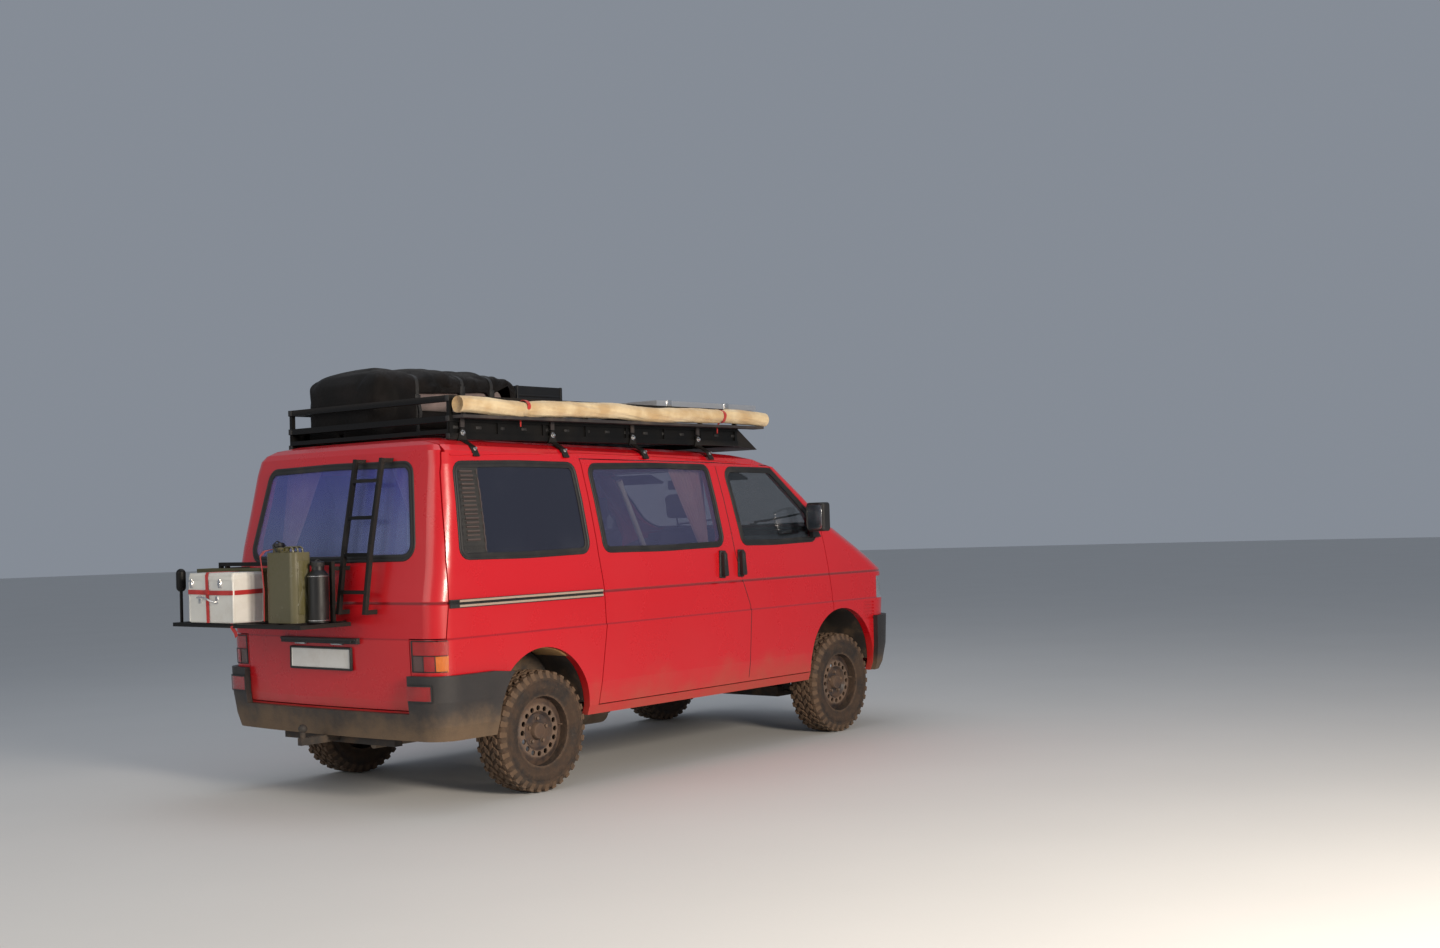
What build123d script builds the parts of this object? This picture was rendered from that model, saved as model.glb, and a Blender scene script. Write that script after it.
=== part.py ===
# Camper van on a raised van chassis: roof rack with a folded tent, a rolled awning and a thin panel,
# a ladder and a carrier on the tailgate.
# Millimetres. +X is forward, +Y is left, +Z is up and z = 0 is the ground.
# While the pieces are made, x = 0 is the rear axle. On export they move so that x = 0 is the
# middle of the overall length.
from build123d import *
from functools import lru_cache
import math
import os

os.makedirs("parts", exist_ok=True)

# Chassis
wheelbase = 2920
front_track = 1570
rear_track = 1556
tyre_radius = 342
tyre_width = 215
tyre_shoulder = 26
tread_depth = 11
tread_pitches = 16
lug_length = 88
lug_inner_y = 4
rim_radius = 203
rim_wall = 7
rim_holes = 16
rim_hole_radius = 15
rim_hole_circle = 128
hub_radius = 42

# Body walls and gaps
wall = 45
bonnet_wall = 26
panel_gap = 6
seat_gap = 0.3
glass_thickness = 6
glass_recess = 3
sill_bottom = 395
door_bottom = 452
floor_top = 540
floor_depth = 60
floor_bottom = floor_top - floor_depth
cant_rail_z_rear = 1912
cant_rail_z_front = 1862
roof_fall = 1.2
roof_fall_pivot = 700
nose_bow = 2600
screen_bow = 2200
tail_bow = 8000
clear = 400

# Wheel arches, each a circle with straight sides below its centre
front_arch = (2915, 482, 378)
rear_arch = (-22, 444, 372)
housing_wall = 16
front_housing_depth = 455
rear_housing_depth = 300
housing_outer_y = 920
door_swing_x = (2730, 2850)
door_swing_y = 852
door_swing_z = (760, 1000)

# Outline of the whole body by height.
# Columns: height, half width, rear x, front x, rear corner, front corner, front bow, falls with roof
LEVELS = [
    (355, 872, -800, 3590, 110, 270, nose_bow, False),
    (450, 905, -820, 3640, 120, 280, nose_bow, False),
    (580, 917, -838, 3670, 120, 270, nose_bow, False),
    (905, 920, -852, 3690, 120, 260, nose_bow, False),
    (917, 912, -852, 3690, 120, 260, nose_bow, False),
    (1090, 914, -850, 3685, 120, 260, nose_bow, False),
    (1100, 908, -846, 3679, 116, 256, nose_bow, False),
    (1112, 914, -850, 3678, 120, 262, nose_bow, False),
    (1195, 912, -835, 3545, 120, 270, nose_bow, False),
    (1290, 908, -818, 3375, 120, 280, nose_bow, False),
    (1418, 897, -799, 3130, 120, 280, nose_bow, False),
    (1434, 895, -796, 3040, 120, 130, screen_bow, False),
    (1640, 868, -758, 2768, 120, 120, screen_bow, False),
    (1845, 832, -722, 2475, 100, 115, screen_bow, False),
    (1893, 812, -706, 2405, 100, 115, screen_bow, True),
    (1925, 785, -686, 2310, 100, 130, screen_bow, True),
    (1950, 730, -650, 2140, 100, 150, screen_bow, True),
    (1972, 620, -570, 1850, 100, 150, screen_bow, True),
    (1988, 440, -420, 1450, 100, 150, screen_bow, True),
    (1996, 250, -150, 1000, 100, 150, screen_bow, True),
]
INNER_HEIGHTS = (355, 450, 905, 1112, 1195, 1290, 1418, 1434, 1845, 1893, 1925, 1950)
inner_roof_drop = 24

# Openings and seams in side view, (x, z)
rear_side_window = [(-603, 1344), (370, 1344), (325, 1842), (-575, 1842)]
sliding_window = [(530, 1344), (1619, 1344), (1555, 1838), (474, 1838)]
door_window = [(1845, 1348), (2668, 1348), (2560, 1540), (2225, 1812), (1752, 1824)]
window_corner = 52
sliding_door_outline = [(432, door_bottom), (506, 915), (494, 1120), (462, 1310), (408, 1878),
                        (1655, 1866), (1744, 1290), (1800, 1125), (1888, 935), (1850, door_bottom)]
front_door_outline = [(1850, door_bottom), (1888, 935), (1800, 1125), (1744, 1290), (1655, 1866),
                      (2215, 1850), (2705, 1452), (2722, 1367), (2806, 966), (2830, door_bottom)]
tailgate_side_outline = [(-1300, 2150), (-628, 2150), (-628, 1945), (-645, 1905), (-668, 1800),
                         (-690, 1600), (-715, 1330), (-722, 1100), (-738, 917), (-1300, 917)]
tailgate_bottom = 532
tailgate_lower_half_width = 704
rear_window = [(-705, 1345), (705, 1345), (604, 1852), (-604, 1852)]
windscreen_outline = [(-800, 1452), (800, 1452), (700, 1852), (-700, 1852)]
cab_frame_bottom = 1382

# Bonnet, nose and lamps
bonnet_rear = 3112
bonnet_rear_gap = 12
bonnet_rear_half_width = 742
bonnet_front_half_width = 690
bonnet_front_z = 1084
lamp_bottom = 908
lamp_top = 1064
lamp_inner_y = 430
lamp_side_x = 3362
grille_slats = 5
grille_recess = 16
grille_back_depth = 12
front_panel_half = 620
bulkhead_x = 2925
bulkhead_thickness = 20
outrigger_x = (420, 1150, 1900, 2440)
pad_inset = 22

# Bumpers
bumper_skin = 36
front_bumper_bottom = 398
front_bumper_top = 785
rear_bumper_bottom = 372
rear_bumper_top = 720
rear_bumper_centre_top = 516
rear_bumper_side_x = -286
tail_lamp_bottom = 737
tail_lamp_top = 908
tail_lamp_inner_y = 718
tail_lamp_side_x = -728

wing_seam_x = 2640
vent_x = (3190, 3310)
vent_z = (764, 899)
vent_grooves = 6
vent_depth = 8
window_vent_x = (-617, -425)
window_vent_z = (1352, 1834)
window_vent_slats = 13

# Hinges
door_hinge_z = ((880, 940), (1150, 1210))

# Roof rack
rack_rear = -500
rack_front = 2060
rack_half_width = 695
rack_rail = 34
rack_low_z = 2003
rack_mid_z = 2100
rack_high_z = 2212
rack_posts = 8
rack_post = 24
rack_feet = (-414, 293, 996, 1629)
rack_bars = 9
rack_floor_z = 2030
deck_depth = 24
side_plate = 6
foot_strap = [(700, 1990), (798, 1938), (828, 1888)]
fairing_outline = [(rack_front + seat_gap, 1986), (2284, 1966), (rack_front + seat_gap, 2112)]

# Ladder on the tailgate
ladder_rails_y = (-242, -462)
ladder_tube = 24
ladder_standoff = 62
ladder_bottom_z = 1046
ladder_top_z = 1890
ladder_rungs = 4
ladder_foot_reach = 40

# Rear carrier on the tailgate, and what stands on it
carrier_inner_x = -930
carrier_outer_x = -1240
carrier_left_y = 800
carrier_right_y = -340
carrier_z = 997
carrier_rail_z = 1325
carrier_frame_right_y = -214
carrier_tube = 22
carrier_slats = 7
slat_rise = 2
carrier_foot_reach = 40
carrier_feet_y = (740, carrier_frame_right_y)
carrier_feet_z = (carrier_z, 1296)
post_x = -1200
post_head_z = (1206, 1284)
box_x = (-1256, -1054)
box_y = (228, 641)
box_top = 1285
can_x = (-1150, -1020)
can_y = (-165, 85)
can_top = 1392
can_cap_top = 1418
crate_x = (-1046, -944)
crate_y = (262, 862)
crate_top = 1302
crate_wall = 6
flask_at = (-1030, -222)
flask_radius = 55
flask_top = 1330
garnish_half_width = 330
garnish_z = (882, 914)

# Running gear
kingpin_y = 752
kingpin_half_length = 100
ball_joint_gap = 0.3
ball_joint_height = 24
drive_shaft_end_y = 694
axle_stub_radius = 28
stub_clearance = 0.3
chassis_rail_y = 385
chassis_rail = (70, 76)
knuckle_radius = 58

bead_half = 92
hub_bore = axle_stub_radius + stub_clearance
rim_face_y = 42
cross_tube_x = 470
cross_tube_z = 368
cross_tube_radius = 34
engine_x = (2990, 3540)
engine_half_width = 376
engine_z = (floor_bottom + seat_gap, 1010)
tank_x = (1250, 1850)
tank_y = (60, 340)
tank_z = (290, floor_bottom)
silencer_x = (700, 1180)
exhaust_x = (-660, 2700)
exhaust_y = -200
exhaust_z = 308
exhaust_hangers_x = (-600, 560, 1500, 2600)
tow_z = 350
tow_ball_x = -985
tow_neck_end = -1007

# Inside
dash_back = bulkhead_x - bulkhead_thickness - seat_gap
dash_outline = [(2560, 960), (dash_back, 960), (dash_back, 1372), (2790, 1378), (2600, 1330), (2540, 1240)]
steering_wheel_at = (2400, 395, 1235)
steering_wheel_lean = 35
bed_x = (-690, 620)
bed_half_width = 560
bed_base_top = 900
mattress_top = 1010
rear_curtain_x = (-615, -590)
side_curtain_y = (-774, -750)
cabinet_x = (760, 1560)
cabinet_y = (440, 850)
cabinet_top = 1230

# Outside fittings
mirror_x = (2480, 2565)
mirror_y = (945, 1092)
mirror_z = (1402, 1597)
mirror_arm_x = 2615
mirror_foot_y = 918
mirror_foot = [(2580, 1362), (2672, 1362), (2600, 1480), (2580, 1500)]
door_grip = [(1768, 1140), (1812, 1140), (1800, 1295), (1764, 1295)]
slide_handle = [(1580, 1140), (1622, 1140), (1612, 1292), (1578, 1292)]
slide_rail_x = (-716, 470)
slide_rail_z = (1074, 1118)
plate_half_width = 260
plate_x = (-856, -850.4)
plate_z = (742, 854)

# Load on the roof
tent_x = (-420, 715)
tent_y = (-50, 671)
tent_top = 2464
shelf_x = (-480, 2230)
shelf_outer_y = -800
shelf_z = (2100, 2117)
shelf_bracket_bottom = 2052
roll_radius = 55
roll_x = (-486, 2265)
roll_y = -766
panel_x = (1247, 2270)
panel_half_width = 705
panel_thickness = 34
case_x = (770, 1170)
case_y = (50, 300)
case_top = 2390


def face_from(points):
    """Flat face bounded by straight lines through the points."""
    return Face(Wire.make_polygon([Vector(*p) for p in points], close=True))


def rounded(face, radius):
    """Face with every corner rounded."""
    return face.fillet_2d(radius, face.vertices()) if radius else face


def side_prism(points, y_from, y_to, corner=0, grow=0):
    """Prism across the van from an outline in side view, grown by a gap if asked."""
    face = rounded(face_from([(x, y_from, z) for x, z in points]), corner)
    if grow:
        face = offset(face, amount=grow, kind=Kind.INTERSECTION).face()
    return extrude(face, amount=y_to - y_from, dir=(0, 1, 0))


def end_prism(points, x_from, x_to, corner=0):
    """Prism along the van from an outline in end view."""
    face = rounded(face_from([(x_from, y, z) for y, z in points]), corner)
    return extrude(face, amount=x_to - x_from, dir=(1, 0, 0))


def top_prism(points, z_from, z_to, corner=0):
    """Upright prism from an outline in top view."""
    face = rounded(face_from([(x, y, z_from) for x, y in points]), corner)
    return extrude(face, amount=z_to - z_from, dir=(0, 0, 1))


def block(x, y, z):
    """Box between pairs of limits along X, Y and Z."""
    size = [abs(b - a) for a, b in (x, y, z)]
    middle = [(a + b) / 2 for a, b in (x, y, z)]
    return Pos(*middle) * Box(*size)


def bar(start, end, width, depth=None):
    """Bar between two points: width is level, depth upright. An upright bar has its width along X."""
    a, b = Vector(*start), Vector(*end)
    axis = b - a
    upright = abs(axis.normalized().Z) > 0.999
    across = Vector(1, 0, 0) if upright else Vector(0, 0, 1).cross(axis)
    plane = Plane(origin=a, x_dir=across, z_dir=axis)
    return extrude(plane * Rectangle(width, depth or width), amount=axis.length)


def rod(start, end, radius):
    """Round bar between two points."""
    a, b = Vector(*start), Vector(*end)
    return extrude(Plane(origin=a, z_dir=b - a) * Circle(radius), amount=(b - a).length)


def corner_points(half_width, end_x, corner, bow, sign):
    """Side end, corner middle and bow end of one rounded body corner, at positive y."""
    bow_centre = end_x - sign * bow
    centre_y = half_width - corner
    run = math.sqrt((bow - corner) ** 2 - centre_y ** 2)
    centre_x = bow_centre + sign * run
    turn = math.atan2(centre_y, run)
    middle = (turn + math.pi / 2) / 2
    return (
        (centre_x, half_width),
        (centre_x + sign * corner * math.cos(middle), centre_y + corner * math.sin(middle)),
        (bow_centre + sign * bow * math.cos(turn), bow * math.sin(turn)),
    )


def body_section(level, inset):
    """Outline of the body at one height, moved inward by the inset."""
    height, half_width, rear, front, rear_corner, front_corner, front_bow, falls = level
    half = half_width - inset
    nose = corner_points(half, front - inset, front_corner - inset, front_bow - inset, 1)
    tail = corner_points(half, rear + inset, rear_corner - inset, tail_bow - inset, -1)

    def point(p, side=1):
        return (p[0], side * p[1])

    edges = [
        Line(tail[0], nose[0]),
        ThreePointArc(*nose),
        ThreePointArc(nose[2], (front - inset, 0), point(nose[2], -1)),
        ThreePointArc(point(nose[2], -1), point(nose[1], -1), point(nose[0], -1)),
        Line(point(nose[0], -1), point(tail[0], -1)),
        ThreePointArc(*[point(p, -1) for p in tail]),
        ThreePointArc(point(tail[2], -1), (rear + inset, 0), tail[2]),
        ThreePointArc(tail[2], tail[1], tail[0]),
    ]
    face = make_face(edges)
    if falls:
        face = Pos(roof_fall_pivot, 0, 0) * Rot(0, roof_fall, 0) * Pos(-roof_fall_pivot, 0, 0) * face
    return Pos(0, 0, height) * face


@lru_cache
def body_solid(inset):
    """Whole closed body, its skin moved inward by the inset."""
    return loft([body_section(level, inset) for level in LEVELS], ruled=True)


def cabin_solid(inset, bottom, drop):
    """Space inside the body walls, with the roof lining a little below the roof."""
    chosen = [level for level in LEVELS if level[0] in INNER_HEIGHTS]
    sections = [body_section(level, inset) for level in chosen]
    top = chosen[-1]
    sections[-1] = Pos(0, 0, -drop) * body_section(top, inset)
    return loft(sections, ruled=True) & block((-2000, 5000), (-1200, 1200), (bottom, 2500))


def group(shapes):
    """One node of several solids."""
    return Compound([solid for shape in shapes for solid in shape.solids()])


def arch_cut(arch, y_from, y_to, grow=0):
    """Wheel arch space: a half round on straight sides down to the ground."""
    x, z, radius = arch
    r = radius + grow
    drum = Plane((x, y_from, z), z_dir=(0, 1, 0)) * Circle(r)
    drum = extrude(drum, amount=y_to - y_from)
    return drum + block((x - r, x + r), (y_from, y_to), (0, z))


parts = {}
WIDE = (-1200, 1200)
RIGHT = (-1200, -clear)
LEFT = (clear, 1200)

# Body shell with its windows and wheel arches open
outer = body_solid(0)
cabin = cabin_solid(wall, sill_bottom - 100, inner_roof_drop)
lining = cabin_solid(wall + panel_gap, sill_bottom - 100, inner_roof_drop + panel_gap)
shell = outer - cabin
window_holes = [side_prism(outline, *WIDE, window_corner)
                for outline in (rear_side_window, sliding_window, door_window)]
rear_window_hole = end_prism(rear_window, -1300, -400, 70)
windscreen_hole = end_prism(windscreen_outline, 2100, 3400, 80)
arch_spaces = [arch_cut(arch, *WIDE) for arch in (front_arch, rear_arch)]
below_sill = block((-2000, 5000), WIDE, (0, sill_bottom))
walls = shell.cut(*window_holes, rear_window_hole, windscreen_hole, *arch_spaces, below_sill)

# Seams that the panels share
tail_seam_x = tailgate_side_outline[1][0] + panel_gap
lamp_ledge_z = tailgate_side_outline[-1][1]
cant_rail = [(-2000, cant_rail_z_rear + 17), (4000, cant_rail_z_front - 21)]
below_cant_rail = side_prism([(-2000, 0)] + cant_rail + [(4000, 0)], *WIDE)
above_cant_rail = side_prism(cant_rail + [(4000, 2600), (-2000, 2600)], *WIDE)
lower_room_half = tailgate_lower_half_width + panel_gap
tailgate_zone = side_prism(tailgate_side_outline, *WIDE)
tailgate_zone += block((-1300, -600), (-tailgate_lower_half_width, tailgate_lower_half_width),
                       (tailgate_bottom, lamp_ledge_z + 10))
tailgate_room = side_prism(tailgate_side_outline, *WIDE, 0, panel_gap)
tailgate_room += block((-1320, -600), (-lower_room_half, lower_room_half),
                       (tailgate_bottom - panel_gap, lamp_ledge_z + 10))
front_door_room = side_prism(front_door_outline, *WIDE, 0, panel_gap)
sliding_door_room = side_prism(sliding_door_outline, *RIGHT, 0, panel_gap)


def bonnet_plan(rear, gap):
    """Bonnet outline in top view, grown by a gap at its sides."""
    return [(rear, bonnet_rear_half_width + gap), (3900, bonnet_front_half_width + gap),
            (3900, -bonnet_front_half_width - gap), (rear, -bonnet_rear_half_width - gap)]


bonnet_room = top_prism(bonnet_plan(bonnet_rear - bonnet_rear_gap, panel_gap),
                        bonnet_front_z - panel_gap, 1600)


def seam_pads(outline, *places):
    """Hinge pads on the inner half of a seam, nearly filling its gap, one at each place."""
    seam = side_prism(outline, *WIDE, 0, panel_gap) - side_prism(outline, *WIDE, 0, seat_gap)
    inner_half = body_solid(pad_inset) & shell & seam
    return [inner_half & block(*place) for place in places]


# Moving panels
parts["tailgate"] = walls & tailgate_zone
door_walls = walls & side_prism(front_door_outline, *WIDE)
parts["door_left"] = door_walls & block((0, 4000), LEFT, (0, 2600))
parts["door_right"] = door_walls & block((0, 4000), RIGHT, (0, 2600))
parts["sliding_door"] = walls & side_prism(sliding_door_outline, *RIGHT)
bonnet_inside = cabin_solid(bonnet_wall, sill_bottom, inner_roof_drop)
parts["bonnet"] = (outer & top_prism(bonnet_plan(bonnet_rear, 0), bonnet_front_z, 1600)) - bonnet_inside

# Fixed panels
fixed = walls.cut(tailgate_room, front_door_room, sliding_door_room, bonnet_room)
roof_skin = fixed & above_cant_rail & block((tail_seam_x, 4000), WIDE, (0, 2600))
tail_pads = seam_pads(tailgate_side_outline, *[((-640, -600), y, (1930, 2100))
                                               for y in ((340, 420), (-420, -340))])
parts["roof"] = roof_skin.fuse(*tail_pads)
lower_fixed = fixed & below_cant_rail
cab_frame_zone = block((2100, 4000), WIDE, (cab_frame_bottom, 2600))
parts["cab_frame"] = lower_fixed & cab_frame_zone
rest = lower_fixed - cab_frame_zone
tail_lamp_room = [block((-1300, tail_lamp_side_x), y, (tail_lamp_bottom, tail_lamp_top))
                  for y in ((tail_lamp_inner_y, 1200), (-1200, -tail_lamp_inner_y))]
sides = (rest & block((-1300, wing_seam_x), WIDE, (0, 2600))).cut(*tail_lamp_room)
slide_pad = seam_pads(sliding_door_outline, ((380, 520), RIGHT, slide_rail_z))
side_right = (sides & block((-1300, 4000), (-1200, 0), (0, 2600))).fuse(*slide_pad)
side_left = sides & block((-1300, 4000), (0, 1200), (0, 2600))
parts["sides"] = group([side_left, side_right])
nose = rest & block((wing_seam_x, 4000), WIDE, (0, cab_frame_bottom))

# Nose: wings, lower panel, grille
lamp_rooms = [block((lamp_side_x, 4000), y, (lamp_bottom, lamp_top))
              for y in ((lamp_inner_y, 1200), (-1200, -lamp_inner_y))]
nose_opening = block((3300, 4000), (-lamp_inner_y, lamp_inner_y), (lamp_bottom, lamp_top))
nose = nose.cut(*lamp_rooms, nose_opening)
front_panel_zone = block((3300, 4000), (-front_panel_half, front_panel_half), (0, 1600))
bonnet_buffers = [shell & block((3500, 4000), y, (bonnet_front_z - panel_gap, bonnet_front_z - seat_gap))
                  for y in ((550, 600), (-600, -550))]
parts["front_panel"] = (nose & front_panel_zone).fuse(*bonnet_buffers)
hinge_pads = seam_pads(front_door_outline, *[((2690, 2900), WIDE, z) for z in door_hinge_z])
vent_pitch = (vent_z[1] - vent_z[0]) / vent_grooves
grooves = [(outer - body_solid(vent_depth)) & block(vent_x, WIDE, (vent_z[0] + vent_pitch * i,
                                                                   vent_z[0] + vent_pitch * (i + 0.5)))
           for i in range(vent_grooves)]
parts["wings"] = (nose - front_panel_zone).fuse(*hinge_pads).cut(*grooves)
grille_half = lamp_inner_y - seat_gap
slat_pitch = (lamp_top - lamp_bottom) / grille_slats
grille_back = (body_solid(grille_recess) - body_solid(grille_recess + grille_back_depth)) & block(
    (3400, 4000), (-grille_half, grille_half), (lamp_bottom + seat_gap, lamp_top - seat_gap))
slats = [(outer - body_solid(grille_recess)) & block(
    (3400, 4000), (-grille_half, grille_half),
    (lamp_bottom + slat_pitch * (i + 0.25), lamp_bottom + slat_pitch * (i + 0.75)))
    for i in range(grille_slats)]
grille = grille_back.fuse(*slats)


def lamp_pair(x_limits, inner_y, z_limits):
    """Two lamps cut from the body skin, seated a little inside their pockets."""
    z = (z_limits[0] + seat_gap, z_limits[1] - seat_gap)
    return [shell & block(x_limits, y, z)
            for y in ((inner_y + seat_gap, 1200), (-1200, -inner_y - seat_gap))]


parts["headlamps"] = group(lamp_pair((lamp_side_x + seat_gap, 4000), lamp_inner_y + seat_gap,
                                     (lamp_bottom, lamp_top)))
parts["tail_lamps"] = group(lamp_pair((-1300, tail_lamp_side_x - seat_gap), tail_lamp_inner_y,
                                      (tail_lamp_bottom, tail_lamp_top)))

# Bumpers stand off the body skin
bumper_ring = body_solid(-bumper_skin) - body_solid(-seat_gap)
rear_ring = bumper_ring & side_prism([(-1000, rear_bumper_bottom), (rear_bumper_side_x, rear_bumper_bottom),
                                      (rear_bumper_side_x, rear_bumper_top - 14),
                                      (-420, rear_bumper_top), (-1000, rear_bumper_top)], *WIDE)
rear_centre_room = block((-1100, -600), (-lower_room_half, lower_room_half), (rear_bumper_centre_top, 1000))
rear_bumper = rear_ring.cut(rear_centre_room, arch_cut(rear_arch, *WIDE))
front_ring = bumper_ring & block((front_arch[0] + front_arch[2] + 8, 4000), WIDE,
                                 (front_bumper_bottom, front_bumper_top))
front_bumper = front_ring - block((3500, 4000), (-520, 520), (470, 560))
parts["bumpers"] = group([front_bumper, rear_bumper])

# Glass
pane = body_solid(glass_recess) - body_solid(glass_recess + glass_thickness)
small_side = [side_prism(outline, *WIDE, window_corner, -seat_gap)
              for outline in (rear_side_window, sliding_window, door_window)]
side_panes = [pane & hole for hole in small_side]
parts["door_glass_left"] = side_panes[2] & block((0, 4000), LEFT, (0, 2600))
parts["door_glass_right"] = side_panes[2] & block((0, 4000), RIGHT, (0, 2600))
parts["tailgate_glass"] = pane & end_prism(rear_window, -1300, -400, 70)
windscreen = pane & end_prism(windscreen_outline, 2100, 3400, 80)
parts["body_glass"] = group([windscreen] + side_panes[:2])


def window_vent(side):
    """Slatted vent over the rear end of one rear side window."""
    y = LEFT if side > 0 else RIGHT
    area = small_side[0] & block(window_vent_x, y, window_vent_z)
    back = (outer - body_solid(glass_recess - seat_gap)) & area
    pitch = (window_vent_z[1] - window_vent_z[0]) / window_vent_slats
    bars = [(body_solid(-4) - body_solid(1)) & area & block(window_vent_x, y, (z, z + pitch / 2))
            for z in [window_vent_z[0] + pitch * (i + 0.25) for i in range(window_vent_slats)]]
    return back.fuse(*bars)


parts["grilles"] = group([grille, window_vent(1), window_vent(-1)])

# Floor with rails and outriggers, with the bulkhead and the wheel housings seated on it
bulkhead_x_limits = (bulkhead_x - bulkhead_thickness, bulkhead_x)
wheel_rooms = []
housing_rooms = []
housings = []
for arch, depth in ((front_arch, front_housing_depth), (rear_arch, rear_housing_depth)):
    for side in (1, -1):
        inner_y = side * (housing_outer_y - depth)
        shell_y = inner_y - side * housing_wall
        room = arch_cut(arch, inner_y, side * 1200)
        drum = arch_cut(arch, shell_y, side * 1200, housing_wall)
        housings.append((lining & drum & block((-2000, 5000), WIDE, (floor_bottom, 2000))) - room)
        housing_rooms.append(arch_cut(arch, shell_y - side * seat_gap, side * 1200, housing_wall + seat_gap))
        wheel_rooms.append(room)
slab = lining & block((-780, bulkhead_x), WIDE, (floor_bottom, floor_top))
rails = [block((-700, 3500), (side * chassis_rail_y - chassis_rail[0] / 2,
                              side * chassis_rail_y + chassis_rail[0] / 2),
               (floor_bottom - chassis_rail[1], floor_bottom)) for side in (1, -1)]
outriggers = [cabin & block((x, x + 60), WIDE, (sill_bottom + 9, sill_bottom + 51)) for x in outrigger_x]
bulkhead = lining & block(bulkhead_x_limits, WIDE, (floor_top + seat_gap, cab_frame_bottom))
door_swing_rooms = [block(door_swing_x, y, door_swing_z)
                    for y in ((door_swing_y, 1200), (-1200, -door_swing_y))]
floor = slab.fuse(*rails, *outriggers).cut(*housing_rooms, *wheel_rooms)
parts["floor"] = group([floor, bulkhead.cut(*housing_rooms)]
                       + [housing.cut(*door_swing_rooms) for housing in housings])


# Wheels, knuckles and axles
def ring_profile(points):
    """Solid of revolution about the wheel's own axis, Y, from (radius, y) points."""
    face = face_from([(r, y, 0) for r, y in points])
    return revolve(face, Axis.Y, 360)


def wheel_tyre():
    """Tyre with two rows of staggered lugs, centred on its own middle plane."""
    half = tyre_width / 2
    crown = half - tyre_shoulder
    carcass = tyre_radius - tread_depth
    points = [(rim_radius + 1, bead_half), (rim_radius + 30, half - 3), (carcass - 60, half),
              (carcass - 16, half - 5), (carcass, crown)]
    body = ring_profile(points + [(r, -y) for r, y in reversed(points)])
    lug_outline = [(carcass - 6, lug_inner_y), (tyre_radius, lug_inner_y), (tyre_radius, crown),
                   (carcass, half - 8), (carcass - 6, half - 8)]
    lugs = []
    for side in (1, -1):
        ring = ring_profile([(r, side * y) for r, y in lug_outline])
        for i in range(tread_pitches):
            turn = 360 * (i + (0.5 if side < 0 else 0)) / tread_pitches
            cutter = Rot(0, turn, 0) * block((-lug_length / 2, lug_length / 2), (-half, half), (-400, -300))
            lugs.append(ring & cutter)
    return body.fuse(*lugs)


def wheel_rim():
    """Pressed steel wheel with a ring of round holes, its face towards +Y."""
    barrel = ring_profile([(rim_radius - rim_wall, -bead_half), (rim_radius, -bead_half),
                           (rim_radius, bead_half), (rim_radius - rim_wall, bead_half)])
    dish = ring_profile([(hub_bore, rim_face_y - 2), (95, rim_face_y - 2), (112, rim_face_y + 16),
                         (148, rim_face_y + 16), (rim_radius - rim_wall, rim_face_y - 4),
                         (rim_radius - rim_wall, rim_face_y - 16), (146, rim_face_y + 6),
                         (116, rim_face_y + 6), (99, rim_face_y - 12), (hub_bore, rim_face_y - 12)])
    hub = ring_profile([(hub_bore, rim_face_y - 40), (hub_radius, rim_face_y - 40),
                        (hub_radius, rim_face_y + 22), (hub_bore - 10, rim_face_y + 22),
                        (0, rim_face_y + 22), (0, rim_face_y + 16), (hub_bore, rim_face_y + 16)])
    holes = [Rot(0, 360 * i / rim_holes, 0) * Pos(rim_hole_circle, rim_face_y, 0)
             * Rot(90, 0, 0) * Cylinder(rim_hole_radius, 80) for i in range(rim_holes)]
    return barrel.fuse(dish, hub).cut(*holes)


tyre = wheel_tyre()
rim = wheel_rim()
WHEELS = [
    ("front_left", wheelbase, front_track / 2),
    ("front_right", wheelbase, -front_track / 2),
    ("rear_left", 0, rear_track / 2),
    ("rear_right", 0, -rear_track / 2),
]
for name, x, y in WHEELS:
    turn = Rot(0, 0, 0) if y > 0 else Rot(0, 0, 180)
    parts["tyre_" + name] = Pos(x, y, tyre_radius) * turn * tyre
    parts["rim_" + name] = Pos(x, y, tyre_radius) * turn * rim

stub_end_y = front_track / 2 + rim_face_y + 10
hub_z = tyre_radius


def knuckle(side):
    """Upright with its stub axle and kingpin."""
    y = side * kingpin_y
    upright = block((wheelbase - 28, wheelbase + 28), (y - 22, y + 22),
                    (hub_z - kingpin_half_length, hub_z + kingpin_half_length))
    carrier = rod((wheelbase, side * (kingpin_y - 34), hub_z), (wheelbase, side * (kingpin_y + 30), hub_z),
                  knuckle_radius)
    stub = rod((wheelbase, side * (kingpin_y + 20), hub_z), (wheelbase, side * stub_end_y, hub_z),
               axle_stub_radius)
    arm_y = side * (kingpin_y - 22)
    arm = block((wheelbase - 150, wheelbase), (arm_y - 12, arm_y + 12), (hub_z - 12, hub_z + 12))
    return upright.fuse(carrier, stub, arm)


parts["knuckle_left"] = knuckle(1)
parts["knuckle_right"] = knuckle(-1)


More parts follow.
